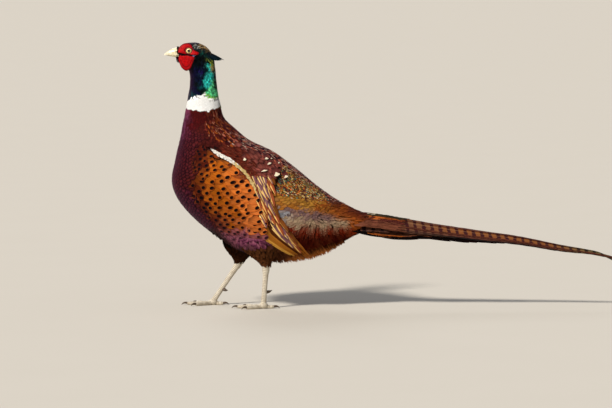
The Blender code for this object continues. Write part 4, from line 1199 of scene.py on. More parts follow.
def over_wing_edge(surface_points):
    """How far a flank feather must rise to lie over the wing's front edge."""
    tip = surface_points[:, -1]
    l, s = wing_place(tip[:, 0], tip[:, 2])
    inside = s - profile(WING_FRONT, np.clip(l, 0, WING_LENGTH))
    return (1.6 + 0.5 * ease(105.0, 140.0, l)) * ease(-9.0, 1.0, inside) * ease(60.0, 90.0, l)


print("the flank's feathers lean by", FLANK_LEAN)

# %% [markdown]
# Round feathers cover the breast, narrow ones the mosaic of the back, and large ones the flanks.
# Where the flank's feathers reach the folded wing they rise over its edge, as on the bird.

# %% Pieces of the trunk's plumage
FINE_TRACTS = (
    ("scaly", SCALY_BAND, SCALY_CORNERS, 7.5, 0.25, contour_finish),
    ("mantle", MANTLE_BAND, MANTLE_CORNERS, 11.5, -0.05, mantle_finish),
)                                     # name, band, corners, length of a feather, lean and finish


def make_contours():
    coat = Coat()
    for start, end, columns, pitch in TRUNK_BANDS:
        u, turn, spacing = columns_on(body, start, end, columns, pitch)
        lean = 0.06 * errors(u)
        points = lay(body, u, turn, CONTOUR, pitch * 3.0, spacing * 0.76, lean, (-3.4, 0.4), 0.22)
        clear = ~under_wing(points) & (flank_share(points) < 0.78)
        clear &= ~tip_in(points, SCALY_CORNERS) & ~tip_in(points, MANTLE_CORNERS)
        coat.add(points, CONTOUR, tip_looks(points), 0.14, unwrapped(u, turn), clear)
    return coat.finish("feathers_breast_back", contour_finish, "plumage_breast")


def make_mosaic(tract, band, corners, length, lean, finish):
    """Narrow feathers of a tract of the back, which draw their kinds from its list."""
    start, end, columns, pitch = band
    u, turn, spacing = columns_on(body, start, end, columns, pitch, jitter=0.25)
    lean = lean * lean_side(turn) + 0.1 * errors(u)
    half = np.clip(spacing * 0.75, 0.8, 2.0)
    points = lay(body, u, turn, SCALE, length, half, lean, (-2.6, 0.5), 0.2, 1.6)
    ragged = 1.8 * errors(u) - 1.5
    clear = tip_in(points, corners, ragged) & ~under_wing(points, rear=3.0)
    points, u, turn = points[clear], u[clear], turn[clear]
    coat = Coat()
    coat.add(points, SCALE, mosaic_rows(tract, points), 0.25, unwrapped(u, turn))
    return coat.finish("feathers_" + tract, finish, "plumage_breast")


def make_flanks():
    """Laid twice: flat first, which shows what comes over the wing's edge, then raised there."""
    coat = Coat()
    for start, end, columns, pitch in FLANK_BANDS:
        u, turn, spacing = columns_on(body, start, end, columns, pitch, jitter=0.1)
        length, half = pitch * 2.5, spacing * 0.72
        lean = FLANK_LEAN * lean_side(turn) * np.abs(np.sin(turn)) + 0.06 * errors(u)
        flat = lay(body, u, turn, CONTOUR, length, half, lean)
        high = 0.4 + over_wing_edge(flat)
        points = lay(body, u, turn, CONTOUR, length, half, lean, (-3.0, high), 0.2, ragged=0.03)
        clear = ~under_wing(points) & (flank_share(points) > 0.7)
        rows = tip_looks(points, nearness=2.8, places=FLANK)
        coat.add(points, CONTOUR, rows, 0.1, unwrapped(u, turn), clear)
    return coat.finish("feathers_flanks", flank_finish, "plumage_breast")


make_contours()
for tract in FINE_TRACTS:
    make_mosaic(*tract)
make_flanks()

# %% [markdown]
# ## Rump, vent and thighs
# Behind the wings the feathers are loose and hair-like, because their barbs don't hook into one
# another. They are laid as narrow pointed vanes, long and dense, that hang over the vent.

# %% Plumes of the rump
PLUME_BANDS = ((15.0, 17.0, 138, 5.6), (17.0, 18.95, 100, 5.2))
SKIRT_BAND = (14.9, 18.2, 44, 3.4)


def make_plumes():
    """On the back the plumes lie along the body, and further down the side they hang. At the bottom they
    stand off the body as a fringe."""
    coat = Coat()
    for start, end, columns, pitch in PLUME_BANDS:
        u, turn, spacing = columns_on(body, start, end, columns, pitch, jitter=0.3)
        down = (1 - np.cos(turn)) / 2
        length = 18 + 13 * down + 3 * errors(u)
        lean = lean_side(turn) * (0.1 + 0.95 * np.sin(turn % np.pi)) * ease(0.08, 0.45, down)
        lean = lean + 0.06 * errors(u)
        high = 0.3 + 3.0 * ease(0.88, 1.0, down) * luck.random(len(u))
        half = np.clip(spacing * 0.9, 0.9, 1.7)
        points = lay(body, u, turn, SCALE, length, half, lean, (-2.6, high), 0.1, 1.0)
        clear = ~under_wing(points, rear=2.0) & ~tip_in(points, MANTLE_CORNERS)
        clear &= ~tip_in(points, SCALY_CORNERS, 3.0)
        coat.add(points, SCALE, plume_looks(points), 0.1, unwrapped(u, turn), clear)
    start, end, columns, pitch = SKIRT_BAND
    u, turn, _ = columns_on(body, start, end, columns, pitch, np.pi - 0.8, np.pi + 0.8, jitter=0.3)
    root = body(u, turn, -2.0)
    ahead = vectors(0.75 + 0.2 * errors(u), 0.25 * np.sin(np.pi - turn), -1.0)
    wide = np.cross(ahead, np.array([0, 1.0, 0]) + 0.3 * luck.normal(size=(len(u), 3)))
    length = (4 + 4 * ease(14.9, 16.2, u) * (1 - ease(17.4, 18.4, u))) * (1 + 0.3 * errors(u))
    length = np.clip(length, 2, 11)
    half = 0.6 + 0.2 * luck.random(len(u))
    points = free_vane(root, ahead, wide, length, half, 0.15 * length, SCALE, 1.0)
    coat.add(points, SCALE, plume_looks(points, 0.7), 0.25, unwrapped(u, turn))
    return coat.finish("plumes_rump", plume_finish, "plumage_rump")


make_plumes()

# %% [markdown]
# The thigh's feathers are round where they belong to the flank, and narrow and hair-like below,
# where they end in a ring round the bare shank.

# %% Feathers of the thighs
THIGH_PITCH, THIGH_COLUMNS = 4.2, 30


def make_thigh_feathers(word):
    """Round feathers of the flank's colours at the top, and narrow hair-like ones down the leg."""
    coat = Coat()
    surface = thigh(word)
    p, q, spacing = columns_on(surface, 0.1, 0.93, THIGH_COLUMNS, THIGH_PITCH, jitter=0.25)
    length = np.clip(17 - 10 * p, 6, 16) + errors(p)
    upper = p < 0.35
    half = np.clip(spacing * 0.8, 1.1, 2.6) * (1 + 0.3 * upper)
    lean = 0.1 * errors(p)
    point = np.where(upper, 2.0, 1.2)[:, None]
    points = lay(surface, p, q, CONTOUR, length, half, lean, (-2.2, 1.2), 0.2, point)
    rows = np.where(upper[:, None], tip_looks(points, nearness=4.0, places=LOW), KINDS["thigh"])
    rows[:, 0:3] *= (0.7 + 0.5 * p)[:, None]
    rows[:, 0:8] *= 0.35 if word == "right" else 1.0          # the far, front leg's feathers darkened: painted shade of the body on them
    patch = vectors(0.05 + 0.9 * p, 0.05 + 0.9 * (q % (2 * np.pi)) / (2 * np.pi))
    coat.add(points, CONTOUR, rows, 0.16, patch)
    return coat.finish("feathers_thigh_" + word, plume_finish, "plumage_thigh")


for word in LEGS:
    make_thigh_feathers(word)

# %% [markdown]
# ## Wings
# A folded wing shows its coverts in rows like roof tiles, then the long quills, one over the
# other. Short feathers are laid in the wing's own plane. The quills are laid between the lines
# of its front and rear edge, which close towards the tip, so that they stack as a shut fan does.

# %% The wing's two surfaces


def wing_out(x, z, l):
    """How far out the wing lies at a place: on the body's half width, or at its own hang where the body is
    narrower, blended by the square root of the squared difference. At the back it clings to the body."""
    high = ease(30.0, 62.0, wing_place(x, z)[1])
    hang = profile(WING_HANG, np.clip(l, 0, WING_LENGTH)) * (1 - 0.6 * high)
    side = half_width(TRUNK_FAN, x, z)
    return 0.5 * (side + hang + np.hypot(side - hang, 6.0))


def wing_plane(side):
    """p runs along the wing in mm and q across it in mm, up and back."""

    def point(p, q, lift=0.0):
        x = SHOULDER[0] + WING_ALONG[0] * p + WING_ACROSS[0] * q
        z = SHOULDER[1] + WING_ALONG[1] * p + WING_ACROSS[1] * q
        return vectors(x, side * (wing_out(x, z, p) + lift), z)

    return point


def wing_lines(side):
    """p runs along the wing in mm and q is the share of the way from its front edge to its rear edge."""
    plane = wing_plane(side)

    def point(p, q, lift=0.0):
        along = np.clip(p, 0, WING_LENGTH)
        front, rear = profile(WING_FRONT, along) + 0.6, profile(WING_REAR, along) - 0.6
        return plane(p, front + (rear - front) * q, lift)

    return point


def wing_patch(l, s):
    """The place of a root on the wing's unwrap."""
    return vectors(0.05 + 0.9 * l / 270, 0.5 + 0.9 * s / 270)


# %% [markdown]
# The shoulder is maroon brown, with a white line along the wing's front edge. The greater
# coverts and inner quills are mauve with broad cream edges, and these make the streaks. The
# outer quills are golden brown. The small feathers take their colours from the places on the
# body, so that back and wing run into one another.

# %% Kinds of wing feather
WING_KINDS = {
    "edge_white": kind((252, 248, 240), 0.0, (238, 228, 206), 0.3),
    "edge_cream": kind((232, 204, 138), 0.0, (176, 140, 84), 0.5),
    "wedge": kind((124, 62, 56), 0.15, (92, 44, 42), 0.3, (252, 238, 206), 1.0, 0.0, 0.0, 1.0),
    "streaked": kind((157, 105, 112), 0.15, (246, 206, 130), 1.0),
    "rusty_streaked": kind((180, 91, 55), 0.15, (240, 190, 110), 1.0),
    "tertial": kind((140, 80, 34), 0.2, (206, 150, 76), 0.9, wedge=1.0),
    "golden_light": kind((244, 178, 76), 0.2, (190, 120, 40), 0.5, wedge=1.0),
    "golden_plain": kind((208, 130, 44), 0.2, (140, 76, 28), 0.5, wedge=1.0),
    "golden_deep": kind((122, 62, 26), 0.2, (84, 40, 20), 0.5, wedge=1.0),
    "golden": kind((216, 130, 36), 0.15, (240, 200, 130), 1.0, wedge=1.0),
    "golden_dark": kind((126, 64, 25), 0.15, (232, 200, 140), 1.0, wedge=1.0),
    "golden_rust": kind((250, 152, 58), 0.15, (240, 208, 150), 1.0, wedge=1.0),
}
quill_finish = feather_finish("wing_quills", rim_from=(0.3, 0.46), rim_on="front")


def wing_span(l):
    """Where the wing's front and rear edges are, across it, at this length."""
    l = np.clip(l, 0, WING_LENGTH)
    return profile(WING_FRONT, l), profile(WING_REAR, l)


def coverts_end(s):
    """How far along the wing the small maroon feathers reach, further at the back than at the front."""
    return np.minimum(76 + 0.015 * np.clip(s, 0, 80) ** 2, 117)


print(len(WING_KINDS), "kinds of wing feather")

# %% [markdown]
# The outer quills stack like the sticks of a shut fan, with only an edge of each in sight. Each one
# keeps its own share of the way across the wing, so all of them close together to the tip.

# %% Outer quills
QUILL_WORDS = ("golden_light " * 2 + "golden_plain " * 3 + "golden_deep " * 2 + "golden golden_dark "
               "golden golden_dark golden golden_rust").split()
QUILLS = len(QUILL_WORDS)
QUILL_ROOT, QUILL_TIP = 106.0, 220      # along the wing


def add_outer_quills(coat, side):
    """The long outer quills, between the wing's front and rear edges, which they follow to the tip. Share
    is the place of a feather's shaft across the wing."""
    lines = wing_lines(side)
    share = (np.arange(QUILLS) + 0.5) / QUILLS
    length = QUILL_TIP + 26 * share - QUILL_ROOT + 3 * errors(share)
    a, b = FLIGHT.along, FLIGHT.across
    p = QUILL_ROOT + length[:, None] * a
    q = share[:, None] + b * 0.8 / QUILLS * leaf(a, 1.6)
    points = lines(p, np.clip(q, 0, 1), -1.8 + 1.8 * a**0.7 - 0.8 * b + 0.3 * FLIGHT.height)
    rows = np.array([WING_KINDS[word] for word in QUILL_WORDS])
    coat.add(points, FLIGHT, rows, 0.12, vectors(0.55, 0.05 + 0.5 * share), size=(0.2, 0.01))


print(QUILLS, "outer quills")

# %% [markdown]
# Real greater coverts and inner quills are long, and only their cream edges show as streaks that
# run steeper than the wing. They are laid on a staggered grid, and those that would stick out of
# the wing's outline are left out.

# %% Streaks


def add_streaks(coat, side):
    """Greater coverts and inner quills. They run steeper than the wing's own line, each row under the one
    before it, and their cream edges make broken streaks."""
    plane = wing_plane(side)
    p, q = staggered(np.arange(40, 216, 15.0), np.arange(-22, 90, 4.8), 7.5, 3.0, 0.8)
    length = 44 + 5 * errors(p)
    lean = -0.36 + 0.3 * ease(120, 180, p + 0.5 * length) + 0.08 * errors(p)
    tip_l, tip_s = p + length * np.cos(lean), q + length * np.sin(lean)
    mid_s = (q + tip_s) / 2
    front, rear = wing_span(tip_l)
    mid_front, mid_rear = wing_span(p + 0.5 * length)
    keep = (tip_s > front + 1.5) & (tip_s < rear - 1.5) & (mid_s < mid_rear - 1.5) & (mid_s > mid_front)
    keep &= (tip_l > coverts_end(tip_s) + 11) & ((tip_l < 160) | (tip_s > -9)) & (tip_l < 230)
    p, q, length, lean, tip_l, tip_s, rear = (v[keep] for v in (p, q, length, lean, tip_l, tip_s, rear))
    rise = (-3.2, 2.0 + 0.6 * luck.random(len(p)))
    points = lay(plane, p, q, FLIGHT, length, 3.3, lean, rise, 0.2, 1.3, 0.03, 0.5, -0.7)
    rows = rows_of(WING_KINDS["streaked"], len(p))
    rows[luck.random(len(p)) < 0.35 + 0.4 * (tip_s > rear - 16)] = WING_KINDS["rusty_streaked"]
    rows[tip_s > rear - 4] = WING_KINDS["tertial"]
    coat.add(points, FLIGHT, rows, 0.14, wing_patch(p, q) * 0.5, size=(0.03, 0.004))


print("streaks start", coverts_end(0), "mm along the wing in front and", coverts_end(80), "behind")

# %% [markdown]
# The small coverts and the scapulars take their kinds from the places of the body. Near the line
# of the back the wing's plane ends, and none are laid there.

# %% Coverts


def on_back(points):
    """True where any part of a feather comes near the line of the back, where the wing's plane ends."""
    x, z = points[..., 0], points[..., 2]
    return (half_width(TRUNK_FAN, x, z) < BACK_HALF_WIDTH).any(axis=1)


# Small coverts, then scapulars: first and last place along the wing, pitch of rows and of columns, length,
# half width, rise of the tip and lean.
COVERT_ROWS = ((0, 122, 5.0, 3.4, 18.0, 2.4, 1.7, 0.4), (16, 116, 7.0, 5.4, 22.0, 3.8, 2.6, 0.15))
BACK_HALF_WIDTH = 28.0
BRIGHTEST_RED = 0.3          # brighter looks belong to flank and rump, and don't grow on the wing


def add_coverts(coat, side):
    """Small coverts in front and scapulars behind, in staggered rows. The small ones lie nearly level."""
    plane = wing_plane(side)
    for first, last, row, column, length, half, high, turned in COVERT_ROWS:
        rows, columns = np.arange(first, last, row), np.arange(-8, 84, column)
        p, q = staggered(rows, columns, 0.5 * row, 0.15 * row, 0.12 * column)
        lean = turned + 0.08 * errors(p)
        tip_p, tip_q = p + length * np.cos(lean), q + length * np.sin(lean)
        front, rear = wing_span(p)[0], wing_span(tip_p)[1]
        keep = (q > front + 1.0) & (tip_q < rear + 3) & (tip_p < coverts_end(tip_q) + 3 * errors(p))
        keep &= (tip_q > 0.58 * rear) if column > 5 else (tip_q < 0.72 * rear)
        p, q, lean = p[keep], q[keep], lean[keep]
        points = lay(plane, p, q, CONTOUR, length, half, lean, (-1.2, high), 0.2, 1.4, step=0.5)
        keep = ~on_back(points)
        points, p, q = points[keep], p[keep], q[keep]
        rows = tip_looks(points)
        plain = tip_in(points, SCALY_CORNERS) | tip_in(points, MANTLE_CORNERS) | (rows[:, 0] > BRIGHTEST_RED)
        rows[plain] = KINDS["scapular"]
        coat.add(points, CONTOUR, rows, 0.2, wing_patch(p, q))


print(len(COVERT_ROWS), "sets of covert rows")

# %% [markdown]
# A few rounded feathers between coverts and streaks end in a pale wedge. They are placed one by
# one. A line of small pale feathers marks the wing's front edge.

# %% Pale wedges and the front edge
# How far along and across the wing the middle of each wedge is, its height and half its width.
WEDGES = ((50, 31, 5.4, 2.8), (75, 56, 5.2, 5.2), (85, 61, 4.6, 5.2), (89, 54, 6.4, 5.6), (102, 65, 6.6, 5.8),
          (85, 43, 2.8, 5.8), (104, 53, 8.0, 6.0), (117, 62, 5.0, 5.0))


def add_wedges(coat, side):
    """Rounded feathers with a pale wedge at the tip, which point down and back."""
    plane = wing_plane(side)
    p, q, height, half = np.array(WEDGES, float).T
    length = height / WEDGE_SHARE
    lean = -0.45 + 0.25 * ease(56, 68, q) + 0.1 * errors(p)
    p, q = p - 0.84 * length * np.cos(lean), q - 0.84 * length * np.sin(lean)
    high = 4.6 + 1.2 * ease(54, 64, q)
    points = lay(plane, p, q, CONTOUR, length, 1.1 * half, lean, (-1.6, high), 0.3, 9.0, 0.03, 0.5)
    coat.add(points, CONTOUR, rows_of(WING_KINDS["wedge"], len(p)), 0.04, wing_patch(p, q))


def add_front_edge(coat, side):
    """The line of small pale feathers along the front edge: white and broad at the shoulder, cream and
    narrow further on, until it is one of the streaks."""
    plane = wing_plane(side)
    p = np.repeat(np.arange(1, 92, 1.5), 3)
    p = p + 0.8 * errors(p)
    broad = profile({0: 1.2, 12: 4.0, 34: 4.2, 60: 2.6, 80: 1.2, 100: 0.5}, p)
    s = 1.2 + broad * luck.random(len(p))
    front, _ = wing_span(p)
    slope = (wing_span(p + 1)[0] - wing_span(p - 1)[0]) / 2
    lean = np.arctan(slope) + 0.1 * errors(p)
    points = lay(plane, p, front + s, CONTOUR, 9.0, 1.2, lean, (0.6, 3.4), 0.2, 1.3, step=0.5)
    rows = rows_of(WING_KINDS["edge_white"], len(p))
    rows[p > 40 + 6 * errors(p)] = WING_KINDS["edge_cream"]
    coat.add(points, CONTOUR, rows, 0.08, wing_patch(p, front + s))


print(len(WEDGES), "wedges on each wing")

# %% Both wings
for side, word in SIDES:
    quills = Coat()
    add_outer_quills(quills, side)
    add_streaks(quills, side)
    quills.finish("wing_quills_" + word, quill_finish, "plumage_wing", ("wing_" + word,))
    coverts = Coat()
    add_coverts(coverts, side)
    add_wedges(coverts, side)
    add_front_edge(coverts, side)
    coverts.finish("wing_coverts_" + word, contour_finish, "plumage_wing")

# %% [markdown]
# ## Tail
# Eighteen feathers lie in nested roofs, each pair shorter and lower than the one over it. The
# middle pair is as long as the body and barred. Its loose edges make the tail look soft, so the
# outline of these vanes is uneven, and fine barbs stand off it.

# %% The tail's roofs and its eighteen feathers
TAIL_RIDGE = {-62: 156.0, -30: 152.6, 6: 147.6, 72: 136.4, 138: 126.4, 204: 116.6, 270: 103.0, 336: 90.6,
              383: 77.0}
TAIL_TIPS = (382.6, 318.0, 244.0, 180.0, 124.0, 76.0, 38.0, 8.0, -12.0)
TAIL_ROOT_X = -59.0
TAIL_HALF = 19.5
TAIL_LAYER = 1.5
TIP_PARTS = 9.0              # how far the tips of the middle pair are apart
RECTRIX = Template(64, 7)
TAIL_KINDS = {
    "middle": kind((142, 82, 38), 0.15, (98, 54, 42), 0.8, (58, 16, 18)),
    "outer": kind((112, 52, 38), 0.15, (20, 10, 8), 1.0, (40, 14, 12)),
    "under": kind((12, 8, 8), 0.1, (40, 20, 14), 0.3),
    "barb": kind((104, 56, 40), 0.05, (92, 36, 34), 0.4),
    "olive": kind((46, 40, 28), 0.05, (70, 62, 46), 0.5),
    # Pale: a painted highlight on the ridge at the tail's root.
    "pale": kind((190, 180, 158), 0.05, (120, 108, 86), 0.4),
    "rusty": kind((166, 86, 32), 0.2, (116, 52, 24), 0.5, (70, 28, 20), 0.0, 0.4),
    "maroon": kind((102, 50, 38), 0.2, (76, 32, 30), 0.5, (44, 16, 22), 0.0, 0.7),
    "orange": kind((196, 108, 44), 0.2, (120, 60, 30), 0.5),
    "brown": kind((122, 72, 50), 0.2, (92, 48, 40), 0.5),
}


def tail_roof(x, y, lift=0.0):
    """A ridge along the tail that falls to both sides, steeper further out."""
    z = profile(TAIL_RIDGE, x) - 0.62 * np.abs(y) - 0.016 * y**2
    return vectors(x, y, z + lift)


def rectrix(number, side):
    """Points of one tail feather. Its half width falls as the root of the share left, and it starts narrow
    under the coverts."""
    a, b = RECTRIX.along, RECTRIX.across
    tip = TAIL_TIPS[number]
    x = TAIL_ROOT_X + (tip - TAIL_ROOT_X) * a
    layer = float(side < 0) if number == 0 else number + 1.0
    inner = -4.5 if number == 0 else 1.0 + 0.5 * number
    outer = TAIL_HALF + 0.5 * number
    taper = 0.03 + 0.97 * np.sqrt(1 - a)
    spread = np.minimum(1.0, 0.72 + 0.28 * (x - TAIL_ROOT_X) / 40)
    half = (outer - inner) / 2 * taper * spread
    if number == 0:
        middle = inner * taper * spread + half
    else:
        middle = (inner + outer) / 2 * spread * (0.35 + 0.65 * taper)
    fray = 1 + 0.05 * np.sin(a * 190 + number) * np.sin(a * 71) + 0.02 * errors(a)
    y = side * np.maximum(middle + b * half * fray, -6.0)
    sunk = TIP_PARTS * ease(330, 383, x) * (number == 0) * (side > 0)
    lift = -TAIL_LAYER * layer + 0.35 * RECTRIX.height - sunk
    return tail_roof(x, y, lift)


def make_tail():
    coat = Coat()
    pairs = [(number, side) for number in range(len(TAIL_TIPS)) for side in (-1, 1)]
    for order, (number, side) in enumerate(pairs):
        row = TAIL_KINDS["middle" if number == 0 else "outer"][None]
        patch = np.array([[0.5, (order + 0.5) / len(pairs)]])
        size = (0.49, 0.4 / len(pairs))
        coat.add(rectrix(number, side)[None], RECTRIX, row, 0.04, patch, size=size)
    return coat.finish("tail_feathers", tail_finish(), "plumage_tail", ("tail",))


print("the tail's longest feathers are", round(TAIL_TIPS[0] - TAIL_ROOT_X), "mm")

# %% [markdown]
# Bars grow at a steady pace, so they are a steady length apart along the tail. They are made from
# the place in the bird, bent back to both sides of the shaft, and broken by noise.

# %% Barred finish of the tail
BAR_GAP = 0.0142          # metres from bar to bar


def tail_finish():
    """Bars across the vane, a steady length apart along the tail and swept back from the shaft. The middle
    pair goes from gold at its shaft to dull purple brown at its edges, and turns olive towards the tip."""
    made = Finish("tail_feathers", 0.5, Specular_IOR_Level=0.2)
    across, along, _ = made.parts(made.node("UVMap", {"uv_map": "Vane"}))
    x, y, _ = made.parts(made.node("TexCoord", None, None, "Object"))
    beside = abs(across * 2 - 1)
    wave = made.noise(160, 2)
    grain = made.noise(1400, 2)
    hair = made.noise(1.0, 4, made.node("CombineXYZ", None, {0: across * 30, 1: along * 26, 2: wave * 2}))
    to_tip = x.step(0.24, 0.34)
    turn = (x - abs(y) * 0.22 + wave * 0.0055) * (2 * math.pi / BAR_GAP) + x * x * 60
    bar = (turn.sine() + hair * 1.0).step(0.4, 1.1)
    share = made.read("rim", "Alpha")
    outer = share.step(0.9, 0.95) * across.step(0.7, 0.84) * (x.step(0.0, 0.07) * 0.7 + 0.3)
    middle = share.step(0.95, 0.9) * beside.step(0.3, 0.8) * 0.9
    colour = made.mix(outer + middle, made.read("ground"), made.read("rim"))
    colour = made.mix(x.step(0.11, 0.03) * 0.6, colour, paint(104, 70, 52))
    colour = made.mix(to_tip * 0.8, colour, paint(104, 100, 66))
    colour = made.mix(beside.step(0.7, 0.95) * x.step(0.12, 0.2) * 0.7, colour, paint(40, 20, 16))
    colour = made.mix(hair.step(0.35, 0.8) * 0.65, colour, made.mix(0.75, colour, (0.0, 0.0, 0.0)))
    bars = made.mix(to_tip, made.read("spot"), paint(26, 22, 16))
    colour = made.mix(bar * (1 - beside.step(0.5, 0.95) * (0.75 - to_tip * 0.6)), colour, bars)
    shaft = beside.step(0.07, 0.02)
    colour = made.mix(shaft * 0.2, colour, paint(206, 160, 110))
    barb = (along * 900 - beside * 60).sine() * 0.5 + 0.5
    colour = made.mix(barb * 0.12 + grain * 0.12, colour, (0.0, 0.0, 0.0))
    made.bump(barb * 0.4 + shaft + hair, 0.4, 0.0004)
    return made.surface(Base_Color=colour, Roughness=0.42 + grain * 0.2)


make_tail()

# %% [markdown]
# The joint of tail and rump is hidden by coverts: rusty ones above, black ones below. The loose
# barbs at the edges of the middle feathers are thin pointed vanes that lie almost along the tail.

# %% Coverts and loose barbs of the tail


def covert_kind(x, y):
    """Upper coverts from the ridge outwards: olive with a pale streak near the root, which is a painted
    highlight on the ridge, then rust, maroon, brown. The bands are ragged, because each feather reads
    its place with an error."""
    off = np.abs(y) + 1.9 * errors(y)
    top = np.abs(y) < 5.0 - 2.0 * ease(-30, 0, x)
    bands = np.select([top, off < 8.0 - 2.0 * ease(-56, -36, x), off < 12.5], [0, 1, 2], 3)
    rows = np.array([TAIL_KINDS[word] for word in ("olive", "rusty", "maroon", "brown")])[bands]
    rows[(bands == 1) & (x < -52)] = TAIL_KINDS["orange"]
    rows[top & (x < -72)] = TAIL_KINDS["maroon"]
    # The pale streak on the ridge near the root is a painted highlight.
    rows[(np.abs(y) < 3.4) & (x > -76) & (x < -58)] = TAIL_KINDS["pale"]
    return rows


def under_kind(x, y):
    """Lower coverts: brown and maroon where they show at the side, then a thin orange line, and black at
    the bottom. Next to the body they are black."""
    off = np.abs(y) * tail_half(0) / tail_half(x) + 0.6 * errors(y) + 5 * ease(-44, -66, x)
    bands = np.select([off < 12.0, off < 15.4, (off < 17.0) & (x < 4), off < 16.4], [0, 1, 2, 1], 3)
    return np.array([TAIL_KINDS[word] for word in ("maroon", "brown", "rusty", "under")])[bands]


TAIL_STACK = {-84: 13.0, -65: 15.0, -45: 17.2, -15: 17.9, 13: 15.0, 33: 11.5, 59: 8.2, 84: 7.1, 105: 6.8,
              140: 5.4, 200: 3.2}        # from the uppermost feathers down to the lowest, along the tail


def under_tail(p, q, lift=0.0):
    """The tail's underside: the same roofs, lower by the stack of feathers. lift is downwards."""
    place = tail_roof(p, q, 0.0)
    drop = profile(TAIL_STACK, np.clip(p, -84, 200)) + lift
    return place - vectors(0 * drop, 0 * drop, drop)


print("the tail is", TAIL_STACK[-15], "mm deep at its root")

# %% Pieces of the tail's coverts
UNDER_COVERTS, EDGE_BARBS = 820, 900


def tail_half(x):
    """Half the width from which the under coverts are drawn. It narrows along the tail."""
    return 19 - 6 * ease(0, 140, x)


def make_tail_coverts():
    coat = Coat()
    x, y = staggered(np.arange(-84, -15, 4.4), np.linspace(-20, 20, 23), 2.2, 1.5, 0.6)
    length = 33 + 6 * errors(x)
    high = 1.7 - 1.3 * ease(-60, 0, x)
    points = lay(tail_roof, x, y, CONTOUR, length, 1.5, 0.004 * y, (-1.0, high), 0.2, point=1.0, step=0.5)
    patch = vectors(0.05 + 0.9 * (x + 90) / 100, 0.25 + 0.4 * (y + 20) / 40)
    coat.add(points, CONTOUR, covert_kind(x, y), 0.2, patch)
    x = luck.uniform(-84, 130, UNDER_COVERTS)
    y = luck.uniform(-1, 1, UNDER_COVERTS) * tail_half(x)
    length = 52 + 5 * errors(x)
    down = 1.2 * luck.random(len(x))
    points = lay(under_tail, x, y, CONTOUR, length, 1.8, 0.0, (-1.0, down), 0.2, point=1.4, step=0.5)
    patch = vectors(0.05 + 0.9 * (x + 90) / 230, 0.75 + 0.4 * (y + 20) / 80)
    coat.add(points, CONTOUR, under_kind(x, y), 0.14, patch)
    return coat.finish("coverts_tail", plume_finish, "plumage_tail")


def make_tail_barbs():
    """Barbs stand off both edges of the middle feathers."""
    coat = Coat()
    share = luck.random(EDGE_BARBS)
    x = -30 + 380 * share
    side = np.where(luck.random(EDGE_BARBS) < 0.5, -1.0, 1.0)
    left = np.clip(1 - (x - TAIL_ROOT_X) / (TAIL_TIPS[0] - TAIL_ROOT_X), 0, 1)
    edge = (TAIL_HALF - 1.0) * (0.03 + 0.97 * np.sqrt(left))
    y = side * (edge - 1.5 - 2.0 * luck.random(EDGE_BARBS))
    length = 9 + 5 * luck.random(EDGE_BARBS)
    points = lay(tail_roof, x, y, SCALE, length, 0.42, side * 0.2, (-1.0, 0.4), 0.12, point=1.0, step=0.5)
    patch = vectors(0.05 + 0.9 * share, 0.5 + 0.4 * y / 25)
    coat.add(points, SCALE, rows_of(TAIL_KINDS["barb"], EDGE_BARBS), 0.2, patch)
    return coat.finish("barbs_tail", contour_finish, "plumage_tail")


make_tail_coverts()
make_tail_barbs()

# %% [markdown]
# ## The red face
# A cock's face is bare skin, swollen and set with rows of tiny soft points. An upper lobe frames
# the eye, and a cheek lobe hangs from it, with a fold between. The patch is drawn on a polar
# grid: its reach is given for a few directions, and its height over the head is a formula.

# %% The wattles
EYE_RADIUS, EYE_OUT = 5.4, 12.6
WATTLE_SWELL, WATTLE_FOLD, WATTLE_FLOOR = 4.0, 1.5, 5.0
WATTLE_RINGS, WATTLE_SECTORS = 60, 240
PAPILLA_GAP, PAPILLA_HEIGHT = 1.5, 0.34


def papillae(x, z):
    """Low round points: the sum of three waves that cross each other, bent so that no row is straight."""
    a = x + 0.9 * np.sin(z / 3.1) + 0.5 * np.sin(x / 1.9 + z)
    b = z + 0.9 * np.sin(x / 2.7 + 1.0) + 0.5 * np.sin(z / 1.7 - x)
    turn = 2 * np.pi / PAPILLA_GAP
    waves = np.cos(turn * a) + np.cos(turn * (0.5 * a + 0.87 * b)) + np.cos(turn * (0.5 * a - 0.87 * b))
    return np.clip(waves / 3, -0.3, 1)


def fold_height(x):
    """The fold between the two lobes, which runs from the corner of the bill to behind the eye."""
    return 416.8 - 0.11 * (x + 350)


